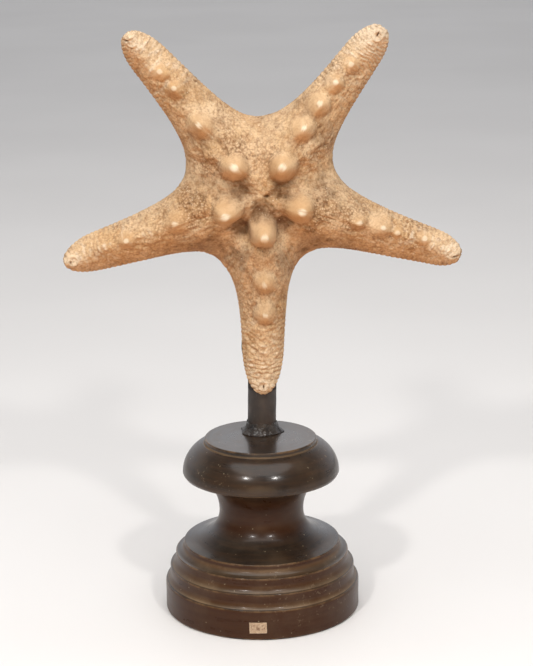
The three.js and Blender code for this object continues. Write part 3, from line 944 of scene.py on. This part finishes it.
def spine_tree(material):
    """Geometry Nodes: a small blunt spine on every point, along its own direction."""
    tree = bpy.data.node_groups.new("Groove spines", "GeometryNodeTree")
    face = tree.interface
    face.new_socket("Geometry", in_out="INPUT", socket_type="NodeSocketGeometry")
    for name, value in SPINE.items():
        kind = "NodeSocketInt" if name == "Seed" else "NodeSocketFloat"
        face.new_socket(name, in_out="INPUT", socket_type=kind).default_value = value
    face.new_socket("Geometry", in_out="OUTPUT", socket_type="NodeSocketGeometry")
    given = put(tree, "NodeGroupInput").outputs
    cone = put(tree, "GeometryNodeMeshCone", {
        "Vertices": 6, "Side Segments": 2, "Radius Bottom": given["Thickness"],
        "Radius Top": times(tree, given["Thickness"], SPINE_TOP), "Depth": given["Length"],
    })
    way = put(
        tree, "GeometryNodeInputNamedAttribute", {"Name": "spine_way"}, data_type="FLOAT_VECTOR"
    )
    turn = put(tree, "FunctionNodeAlignRotationToVector", {
        "Vector": way.outputs["Attribute"],
    }, axis="Z")
    sizes = put(tree, "FunctionNodeRandomValue", data_type="FLOAT")
    low, high = (s for s in sizes.inputs if s.name in ("Min", "Max") and s.enabled)
    tree.links.new(calc(tree, "SUBTRACT", 1.0, given["Variation"]), low)
    tree.links.new(calc(tree, "ADD", 1.0, given["Variation"]), high)
    tree.links.new(given["Seed"], sizes.inputs["Seed"])
    spines = put(tree, "GeometryNodeInstanceOnPoints", {
        "Points": given["Geometry"], "Instance": cone.outputs["Mesh"],
        "Rotation": turn.outputs["Rotation"],
        "Scale": next(s for s in sizes.outputs if s.enabled),
    })
    whole = put(
        tree, "GeometryNodeRealizeInstances", {"Geometry": spines.outputs["Instances"]}
    )
    painted = put(tree, "GeometryNodeSetMaterial", {
        "Geometry": whole.outputs["Geometry"], "Material": material,
    })
    put(tree, "NodeGroupOutput", {"Geometry": painted.outputs["Geometry"]})
    return tree


def groove_spines(material):
    """A row of spines on each bank of every arm's groove, leaning in over it."""
    roots, ways = [], []
    for number, arm in enumerate(ARMS):
        beside = notches_beside(number)[0]
        for sign in (-1, 1):
            along = np.arange(9, arm.length - 9, SPINE_PITCH)
            width = half_width(arm, beside, np.maximum(along, beside.along))
            for bank, depth in SPINE_BANKS:
                across = sign * width * bank * np.minimum(1, 0.45 + along / 60)
                root = placed(arm, along, across, depth + 0 * along)
                tip = placed(arm, along + 0.5, across - sign * 1.1, depth - 1.1 + 0 * along)
                roots.append(star_in_mount(root))
                ways.append(star_in_mount(tip) - star_in_mount(root))
    roots = np.concatenate(roots) * MM
    ways = np.concatenate(ways)
    mesh = bpy.data.meshes.new("spine_roots")
    mesh.from_pydata(roots.tolist(), [], [])
    mesh.attributes.new("spine_way", "FLOAT_VECTOR", "POINT").data.foreach_set(
        "vector", ways.astype(np.float32).ravel()
    )
    holder = bpy.data.objects.new("spine_roots", mesh)
    bpy.context.scene.collection.objects.link(holder)
    tree = spine_tree(material)
    modifier = holder.modifiers.new("Spines", "NODES")
    modifier.node_group = tree
    ids = {s.name: s.identifier for s in tree.interface.items_tree if s.in_out == "INPUT"}
    for name, value in SPINE.items():
        modifier[ids[name]] = value
    ready = holder.evaluated_get(bpy.context.evaluated_depsgraph_get())
    spines = bpy.data.meshes.new_from_object(ready)
    bpy.data.objects.remove(holder)
    return finished(spines, "groove_spines", material, "starfish")


# ------------------------------------------------------------------ node helpers


def put(tree, kind, inputs=None, **settings):
    """A node with its settings and inputs. An input is a value or another node's output."""
    node = tree.nodes.new(kind)
    for key, value in settings.items():
        setattr(node, key, value)
    for key, value in (inputs or {}).items():
        if isinstance(value, bpy.types.NodeSocket):
            tree.links.new(value, node.inputs[key])
        else:
            node.inputs[key].default_value = value
    return node


def calc(tree, operation, a, b=0.0, clamp=False):
    """Arithmetic on two values, which are numbers or outputs."""
    node = put(tree, "ShaderNodeMath", {0: a, 1: b}, operation=operation, use_clamp=clamp)
    return node.outputs[0]


def times(tree, a, b):
    return calc(tree, "MULTIPLY", a, b)


def total(tree, first, *others):
    for value in others:
        first = calc(tree, "ADD", first, value)
    return first


def between(tree, value, low, high, to_low=0.0, to_high=1.0):
    """value from low to high, eased to the other range."""
    return put(tree, "ShaderNodeMapRange", {
        "Value": value, "From Min": low, "From Max": high, "To Min": to_low, "To Max": to_high,
    }, interpolation_type="SMOOTHSTEP").outputs["Result"]


def blend(tree, share, a, b, blend_type="MIX"):
    """Colours a to b by share."""
    node = put(tree, "ShaderNodeMix", {0: share}, data_type="RGBA", blend_type=blend_type)
    for socket, colour in ((node.inputs[6], a), (node.inputs[7], b)):
        if isinstance(colour, bpy.types.NodeSocket):
            tree.links.new(colour, socket)
        else:
            socket.default_value = (*colour, 1)
    return node.outputs[2]


def linear(red, green, blue):
    """A screen colour out of 255 as the renderer's light values."""
    return tuple(
        c / 12.92 if c <= 0.04045 else ((c + 0.055) / 1.055) ** 2.4
        for c in (red / 255, green / 255, blue / 255)
    )


def layered(tree, colour, palette, layers):
    """A colour under tints of the palette, each with its share where its mask is 1."""
    for name, share, mask in layers:
        colour = blend(tree, times(tree, mask, share), colour, linear(*palette[name]))
    return colour


def group(name, inputs, outputs):
    """An empty shader group with named sockets: (name, default) in, (name, kind) out."""
    tree = bpy.data.node_groups.new(name, "ShaderNodeTree")
    for label, value in inputs:
        tree.interface.new_socket(
            label, in_out="INPUT", socket_type="NodeSocketFloat"
        ).default_value = value
    for label, kind in outputs:
        tree.interface.new_socket(label, in_out="OUTPUT", socket_type=kind)
    return tree, put(tree, "NodeGroupInput"), put(tree, "NodeGroupOutput")


def noise(tree, scale, detail, rough, vector):
    node = put(tree, "ShaderNodeTexNoise", {
        "Scale": scale, "Detail": detail, "Roughness": rough, "Vector": vector,
    })
    return node.outputs["Fac"]


def cells(tree, where, scale, **settings):
    """Distance to the middle of the nearest of many small random cells."""
    node = put(tree, "ShaderNodeTexVoronoi", {"Vector": where, "Scale": scale}, **settings)
    return node.outputs["Distance"]


def patchy(tree, where, scale, detail, rough, low, high, *to):
    """Noise as soft-edged patches: low is outside a patch and high inside it."""
    return between(tree, noise(tree, scale, detail, rough, where), low, high, *to)


def place_of(tree):
    return put(tree, "ShaderNodeTexCoord").outputs["Object"]


def specks_group():
    """Scattered pale specks of dust, and a soft uneven film of it."""
    tree, given, result = group(
        "Dust and specks",
        [("Speck size", 900.0), ("Speck amount", 0.5), ("Film size", 60.0)],
        [("Specks", "NodeSocketFloat"), ("Film", "NodeSocketFloat")],
    )
    where = place_of(tree)
    least = calc(tree, "SUBTRACT", 0.74, given.outputs["Speck amount"])
    shown = patchy(tree, where, 260, 2, 0.6, least, 0.78)
    dot = between(tree, cells(tree, where, given.outputs["Speck size"]), 0.3, 0.14)
    tree.links.new(times(tree, shown, dot), result.inputs["Specks"])
    film = patchy(tree, where, given.outputs["Film size"], 5, 0.65, 0.42, 0.72)
    tree.links.new(film, result.inputs["Film"])
    return tree


def grain_group():
    """Fine granules and pores, as a height and as the mask of the pores."""
    tree, given, result = group(
        "Granules and pores",
        [("Granule size", 1300.0), ("Pore size", 620.0), ("Pore amount", 0.5)],
        [("Height", "NodeSocketFloat"), ("Pores", "NodeSocketFloat")],
    )
    where = place_of(tree)
    granule = cells(tree, where, given.outputs["Granule size"], feature="SMOOTH_F1")
    wobble = put(tree, "ShaderNodeTexNoise", {
        "Scale": 900, "Detail": 3, "Roughness": 0.6, "Vector": where,
    })
    nudge = put(tree, "ShaderNodeVectorMath", {
        0: wobble.outputs["Color"], 1: (0.0009, 0.0009, 0.0009),
    }, operation="MULTIPLY").outputs[0]
    nudged = put(
        tree, "ShaderNodeVectorMath", {0: where, 1: nudge}, operation="ADD"
    ).outputs[0]
    hole = cells(tree, nudged, given.outputs["Pore size"])
    least = calc(tree, "SUBTRACT", 0.85, given.outputs["Pore amount"])
    open_here = patchy(tree, where, 150, 3, 0.6, least, 0.7)
    pore = times(tree, between(tree, hole, 0.36, 0.12), open_here)
    bumps = times(tree, granule, -0.5)
    tree.links.new(
        calc(tree, "SUBTRACT", bumps, times(tree, pore, 0.9)), result.inputs["Height"]
    )
    tree.links.new(pore, result.inputs["Pores"])
    return tree


def turning_group():
    """Fine rings left by the lathe: a height, and a mask of streaks along them."""
    tree, given, result = group(
        "Turning marks", [("Fineness", 1.0)],
        [("Height", "NodeSocketFloat"), ("Streaks", "NodeSocketFloat")],
    )
    xyz = put(tree, "ShaderNodeSeparateXYZ", {0: place_of(tree)}).outputs
    flat = put(tree, "ShaderNodeCombineXYZ", {0: xyz[0], 1: xyz[1]}).outputs[0]
    reach = put(tree, "ShaderNodeVectorMath", {0: flat}, operation="LENGTH").outputs["Value"]
    round_it = times(tree, calc(tree, "ARCTAN2", xyz[1], xyz[0]), 0.0035)
    stretched = put(tree, "ShaderNodeCombineXYZ", {0: round_it, 1: reach, 2: xyz[2]}).outputs[0]
    lines = noise(tree, times(tree, given.outputs["Fineness"], 1500), 3, 0.6, stretched)
    broad = noise(tree, 380, 4, 0.6, stretched)
    tree.links.new(total(tree, lines, times(tree, broad, 1.4)), result.inputs["Height"])
    tree.links.new(between(tree, broad, 0.38, 0.66), result.inputs["Streaks"])
    return tree


def use(tree, shared, **values):
    """A shared group placed in a material, with its own values."""
    node = put(tree, "ShaderNodeGroup", node_tree=shared)
    for label, value in values.items():
        node.inputs[label.replace("_", " ").capitalize()].default_value = value
    return node


def finish_of(name, **constants):
    """A new material with a Principled shader, and values that are the same all over."""
    material = bpy.data.materials.new(name)
    material.use_nodes = True
    tree = material.node_tree
    shader = tree.nodes["Principled BSDF"]
    for label, value in constants.items():
        shader.inputs[label.replace("_", " ").title()].default_value = value
    return material, tree, shader


def attribute(tree, name):
    return put(tree, "ShaderNodeAttribute", attribute_name=name).outputs["Fac"]


def wire(tree, shader, **outputs):
    """Links outputs that vary over the surface to the shader's sockets."""
    for label, output in outputs.items():
        tree.links.new(output, shader.inputs[label.replace("_", " ").title()])


def bump(tree, shader, height, strength, distance):
    node = put(tree, "ShaderNodeBump", {
        "Height": height, "Strength": strength, "Distance": distance,
    })
    wire(tree, shader, normal=node.outputs["Normal"])


# ------------------------------------------------------------------ materials


SKIN = {
    "tan": (222, 191, 152), "ochre": (203, 164, 118), "mottle": (172, 128, 86),
    "bleached": (232, 214, 188), "crust bed": (160, 112, 72), "gap": (138, 94, 56),
    "crust gap": (120, 82, 50), "granule": (236, 208, 170), "crust granule": (240, 218, 186),
    "dirt_and_shade": (102, 68, 38), "chalk": (240, 224, 196), "bare knob": (194, 156, 114),
    "nub": (230, 216, 190),
}
# Painted shade: the warm dark tint multiplied onto faces that look down.
UNDERSIDE_SHADE_TINT = (0.8, 0.53, 0.34)


def dried_skin(grains, specks):
    """The star's skin: chalky tan, brown dirt in its pits, painted shade in its hollows and on its
    downward faces, pale rubbed knobs and plate edges.
    """
    material, tree, shader = finish_of("Dried star skin")
    shader.inputs["Specular IOR Level"].default_value = 0.25
    where = place_of(tree)
    grain = use(tree, grains, Granule_size=1250.0, Pore_size=640.0, Pore_amount=0.42)
    dust = use(tree, specks, Speck_size=700.0, Speck_amount=0.2, Film_size=90.0)
    bare, crown, pale, grime_and_shade, painted_underside_shade, crust = (
        attribute(tree, n) for n in ("bare", "crown", "pale", "grime_and_shade", "painted_underside_shade", "crust")
    )
    rough_skin = calc(tree, "SUBTRACT", 1.0, times(tree, bare, 0.7))
    grit = cells(tree, where, 860.0)
    granule = total(
        tree, times(tree, noise(tree, 760, 5, 0.75, where), 0.65),
        times(tree, calc(tree, "SUBTRACT", 0.88, grit), 0.4),
    )
    gaps = times(tree, between(tree, granule, 0.47, 0.36), rough_skin)
    tops = times(tree, between(tree, granule, 0.53, 0.66), rough_skin)
    pores = times(tree, grain.outputs["Pores"], rough_skin)
    # Dirt in the pores and pits, and painted shade in the hollows, valleys and crevices, as one dark
    # mask.
    dirt_and_shade = calc(tree, "ADD", times(tree, pores, 0.45), grime_and_shade, clamp=True)
    thin = patchy(tree, where, 130, 4, 0.7, 0.3, 0.6, 0.55, 1)
    broad = patchy(tree, where, 55, 4, 0.6, 0.35, 0.68)
    mottle = patchy(tree, where, 240, 5, 0.7, 0.44, 0.66)
    colour = layered(
        tree, blend(tree, broad, linear(*SKIN["tan"]), linear(*SKIN["ochre"])), SKIN, [
            ("mottle", 0.5, times(tree, mottle, rough_skin)),
            ("bleached", 0.7, pale),
            ("crust bed", 0.22, crust),
            ("gap", 0.34, gaps),
            ("crust gap", 0.42, times(tree, gaps, crust)),
            ("granule", 0.4, tops),
            ("crust granule", 0.6, times(tree, tops, crust)),
            ("dirt_and_shade", 0.9, times(tree, dirt_and_shade, thin)),
            ("chalk", 1, times(tree, dust.outputs["Specks"], rough_skin)),
            ("bare knob", 0.55, bare),
            ("nub", 0.8, crown),
        ],
    )
    # Painted shade: faces that look down are darkened and warmed.
    colour = blend(tree, times(tree, painted_underside_shade, 0.9), colour, UNDERSIDE_SHADE_TINT, "MULTIPLY")
    height = total(
        tree, grain.outputs["Height"],
        times(tree, noise(tree, 1800, 3, 0.6, where), 0.6),
        times(tree, noise(tree, 480, 5, 0.7, where), 1.2),
        times(tree, granule, total(tree, times(tree, crust, 1.6), 0.6)),
    )
    height = times(tree, height, between(tree, bare, 0, 1, 1, 0.25))
    height = times(tree, height, between(tree, crown, 0, 1, 1, 0.3))
    wire(tree, shader, base_color=colour, roughness=between(tree, crown, 0, 1, 0.8, 0.55))
    bump(tree, shader, height, 0.7, 0.0008)
    return material


def spine_chalk(specks):
    """The spines under the star: chalky, with a brown film."""
    material, tree, shader = finish_of("Spine chalk")
    film = use(tree, specks, Speck_size=500.0, Speck_amount=0.2, Film_size=220.0).outputs["Film"]
    colour = blend(tree, film, linear(222, 190, 148), linear(160, 118, 80))
    wire(tree, shader, base_color=colour, roughness=between(tree, film, 0, 1, 0.6, 0.9))
    bump(tree, shader, film, 0.4, 0.0003)
    return material


WOOD = {
    "black": (34, 27, 22), "worn black": (50, 38, 27), "painted_warm_reflection": (58, 30, 10),
    "streak": (82, 56, 34), "rubbed": (128, 98, 66), "settled dust": (128, 104, 76),
    "film": (120, 106, 88), "scuff": (142, 122, 98), "speck": (176, 160, 132),
}
# The walls below the bun carry a painted reflection of a warm brown table: where that starts and where
# it is full, in metres.
REFLECTION_STARTS, REFLECTION_FULL = 0.078, 0.06


def ebonised_wood(specks, marks):
    """Blackened wood under an old polish: brown where it is rubbed, dusty in its corners."""
    material, tree, shader = finish_of("Ebonised wood", coat_roughness=0.15)
    shader.inputs["Specular IOR Level"].default_value = 0.18
    where = place_of(tree)
    dust = use(tree, specks, Speck_size=640.0, Speck_amount=0.12, Film_size=45.0).outputs
    ring = use(tree, marks, Fineness=1.0).outputs
    arris, nook, upright = (attribute(tree, n) for n in ("arris", "nook", "upright"))
    height = put(tree, "ShaderNodeSeparateXYZ", {0: where}).outputs[2]
    # Painted reflection: the upright walls below the bun are tinted warm brown, as a mirrored wooden
    # table.
    painted_warm_reflection = times(
        tree, between(tree, upright, 0.6, 1), between(tree, height, REFLECTION_STARTS, REFLECTION_FULL)
    )
    uneven = patchy(tree, where, 120, 5, 0.7, 0.4, 0.62, 0.15, 1)
    rubbed = times(tree, between(tree, arris, 0.25, 0.75), uneven)
    dusty = total(tree, times(tree, dust["Film"], 0.5), 0.45)
    settled = times(tree, between(tree, nook, 0.06, 0.5), dusty)
    scuffed = times(
        tree, patchy(tree, where, 420, 4, 0.75, 0.6, 0.68),
        patchy(tree, where, 26, 2, 0.5, 0.52, 0.62),
    )
    tone = patchy(tree, where, 30, 4, 0.6, 0.35, 0.66)
    colour = layered(
        tree, blend(tree, tone, linear(*WOOD["black"]), linear(*WOOD["worn black"])), WOOD, [
            ("painted_warm_reflection", 0.9, painted_warm_reflection),
            ("streak", 0.2, ring["Streaks"]),
            ("rubbed", 0.45, rubbed),
            ("settled dust", 0.9, settled),
            ("film", 0.1, dust["Film"]),
            ("scuff", 0.4, scuffed),
            ("speck", 0.7, dust["Specks"]),
        ],
    )
    worn = total(
        tree, times(tree, dust["Film"], 0.1), times(tree, settled, 0.3),
        times(tree, ring["Streaks"], 0.05), 0.27,
    )
    coat = between(tree, painted_warm_reflection, 0, 1, 0.3, 0.06)
    wire(tree, shader, base_color=colour, roughness=worn, coat_weight=coat)
    bump(tree, shader, ring["Height"], 0.06, 0.0003)
    return material


ROD = {
    "black": (50, 43, 38), "worn black": (66, 54, 46), "scratch": (120, 110, 104),
    "speck": (150, 138, 120),
}


def blackened_rod(specks):
    """The post: dull brown-black, with a few diagonal scratches."""
    material, tree, shader = finish_of("Blackened rod")
    where = place_of(tree)
    dust = use(tree, specks, Speck_size=600.0, Speck_amount=0.15, Film_size=120.0).outputs
    slanted = put(tree, "ShaderNodeMapping", {
        "Vector": where, "Rotation": (0, math.radians(38), 0), "Scale": (1, 1, 0.08),
    }).outputs[0]
    scratch = patchy(tree, slanted, 1500, 2, 0.5, 0.7, 0.76)
    tone = patchy(tree, where, 90, 4, 0.6, 0.35, 0.65)
    colour = layered(
        tree, blend(tree, tone, linear(*ROD["black"]), linear(*ROD["worn black"])), ROD,
        [("scratch", 0.5, scratch), ("speck", 0.4, dust["Specks"])],
    )
    roughness = total(tree, times(tree, dust["Film"], 0.16), 0.46)
    height = total(tree, noise(tree, 500, 4, 0.6, where), times(tree, scratch, -0.5))
    wire(tree, shader, base_color=colour, roughness=roughness)
    bump(tree, shader, height, 0.3, 0.0004)
    return material


MASTIC = {"black": (38, 33, 31), "grey": (60, 53, 48), "film": (96, 90, 84)}


def black_mastic(specks):
    """Hard glossy filler with crumpled facets."""
    material, tree, shader = finish_of("Black mastic")
    where = place_of(tree)
    film = use(tree, specks, Speck_size=700.0, Speck_amount=0.2, Film_size=160.0).outputs["Film"]
    tone = patchy(tree, where, 220, 4, 0.6, 0.35, 0.65)
    colour = layered(
        tree, blend(tree, tone, linear(*MASTIC["black"]), linear(*MASTIC["grey"])), MASTIC,
        [("film", 0.25, film)],
    )
    height = total(tree, noise(tree, 900, 4, 0.6, where), cells(tree, where, 620.0))
    wire(tree, shader, base_color=colour, roughness=total(tree, times(tree, film, 0.3), 0.2))
    bump(tree, shader, height, 0.45, 0.0008)
    return material


PAPER = {
    "cream": (190, 166, 140), "fibre": (168, 142, 116), "stain": (160, 124, 88),
    "ink": (96, 62, 38),
}


def from_middle(tree, value):
    """How far a value is from 0.5, either way."""
    return calc(tree, "ABSOLUTE", calc(tree, "SUBTRACT", value, 0.5))


def aged_paper(specks):
    """Yellowed paper with a rubbed edge and the last of an unreadable ink stamp."""
    material, tree, shader = finish_of("Aged paper", roughness=0.85)
    where = place_of(tree)
    film = use(tree, specks, Speck_size=1500.0, Speck_amount=0.25, Film_size=300.0).outputs["Film"]
    uv = put(tree, "ShaderNodeSeparateXYZ", {
        0: put(tree, "ShaderNodeTexCoord").outputs["UV"],
    }).outputs
    # The stamp was three blots in a row, now too worn to read.
    thirds = calc(tree, "FRACT", calc(tree, "SUBTRACT", times(tree, uv[0], 3.4), 0.2))
    block = times(
        tree, between(tree, from_middle(tree, thirds), 0.42, 0.24),
        between(tree, from_middle(tree, uv[1]), 0.32, 0.22),
    )
    inside = between(tree, from_middle(tree, uv[0]), 0.45, 0.4)
    blot = patchy(tree, where, 900, 3, 0.7, 0.45, 0.6)
    ink = times(tree, times(tree, block, inside), blot)
    fibre = patchy(tree, where, 1400, 4, 0.7, 0.35, 0.65)
    colour = layered(
        tree, blend(tree, fibre, linear(*PAPER["cream"]), linear(*PAPER["fibre"])), PAPER,
        [("stain", 0.4, film), ("ink", 0.75, ink)],
    )
    wire(tree, shader, base_color=colour)
    bump(tree, shader, fibre, 0.25, 0.0002)
    return material


def pale_floor():
    material, tree, shader = finish_of("Pale floor", roughness=0.75)
    shade = patchy(tree, place_of(tree), 3, 2, 0.5, 0.3, 0.7)
    wire(tree, shader, base_color=blend(tree, shade, (0.74, 0.725, 0.71), (0.77, 0.755, 0.74)))
    return material


# ------------------------------------------------------------------ floor, light and camera


def studio_floor():
    """A pale floor that shows in the picture, and isn't part of the object."""
    work = bmesh.new()
    bmesh.ops.create_circle(work, cap_ends=True, radius=FLOOR_RADIUS, segments=96)
    mesh = bpy.data.meshes.new("floor")
    work.to_mesh(mesh)
    work.free()
    mesh.materials.append(pale_floor())
    floor = bpy.data.objects.new("floor", mesh)
    floor.location = (0, 0, -FLOOR_DROP)
    bpy.context.scene.collection.objects.link(floor)


def lamp(name, position, target, size, power, colour):
    data = bpy.data.lights.new(name, "AREA")
    data.shape = "DISK"
    data.size = size
    data.energy = power
    data.color = colour
    light = bpy.data.objects.new(name, data)
    light.location = position
    light.visible_camera = False
    aim = Vector(target) - Vector(position)
    light.rotation_euler = aim.to_track_quat("-Z", "Y").to_euler()
    bpy.context.scene.collection.objects.link(light)


def studio_light():
    """The lamps, and a dim world that glows low down behind the object."""
    for settings in LAMPS:
        lamp(*settings)
    world = bpy.data.worlds.new("studio")
    world.use_nodes = True
    tree = world.node_tree
    way = put(tree, "ShaderNodeSeparateXYZ", {
        0: put(tree, "ShaderNodeTexCoord").outputs["Generated"]
    })
    behind = between(tree, way.outputs[1], -0.1, 0.7)
    low = between(tree, way.outputs[2], 0.75, 0.3)
    glow = times(tree, behind, low)
    background = tree.nodes["Background"]
    background.inputs["Color"].default_value = (0.92, 0.94, 1, 1)
    tree.links.new(total(tree, times(tree, glow, 0.75), 0.2), background.inputs["Strength"])
    bpy.context.scene.world = world
    bpy.context.scene.view_settings.view_transform = "Standard"


def studio_camera():
    """A long lens a little above the star, tipped down at it."""
    data = bpy.data.cameras.new("camera")
    data.sensor_width = CAMERA_SENSOR
    data.lens = CAMERA_LENS
    data.clip_start, data.clip_end = 0.05, 40
    camera = bpy.data.objects.new("camera", data)
    camera.location = CAMERA_PLACE
    pitch, yaw, roll = (math.radians(a) for a in (CAMERA_PITCH, CAMERA_YAW, CAMERA_ROLL))
    camera.rotation_mode = "QUATERNION"
    camera.rotation_quaternion = (
        Euler((pitch, 0, yaw)).to_quaternion() @ Euler((0, 0, roll)).to_quaternion()
    )
    bpy.context.scene.collection.objects.link(camera)
    bpy.context.scene.camera = camera


# ------------------------------------------------------------------ making

studio_camera()
studio_light()
studio_floor()

specks, grains, marks = specks_group(), grain_group(), turning_group()
ebony = ebonised_wood(specks, marks)
mastic = black_mastic(specks)
sea_star(dried_skin(grains, specks))
groove_spines(spine_chalk(specks))
pedestal(ebony)
capital(ebony)
post(blackened_rod(specks))
collar(mastic)
bedding(mastic)
label(aged_paper(specks))
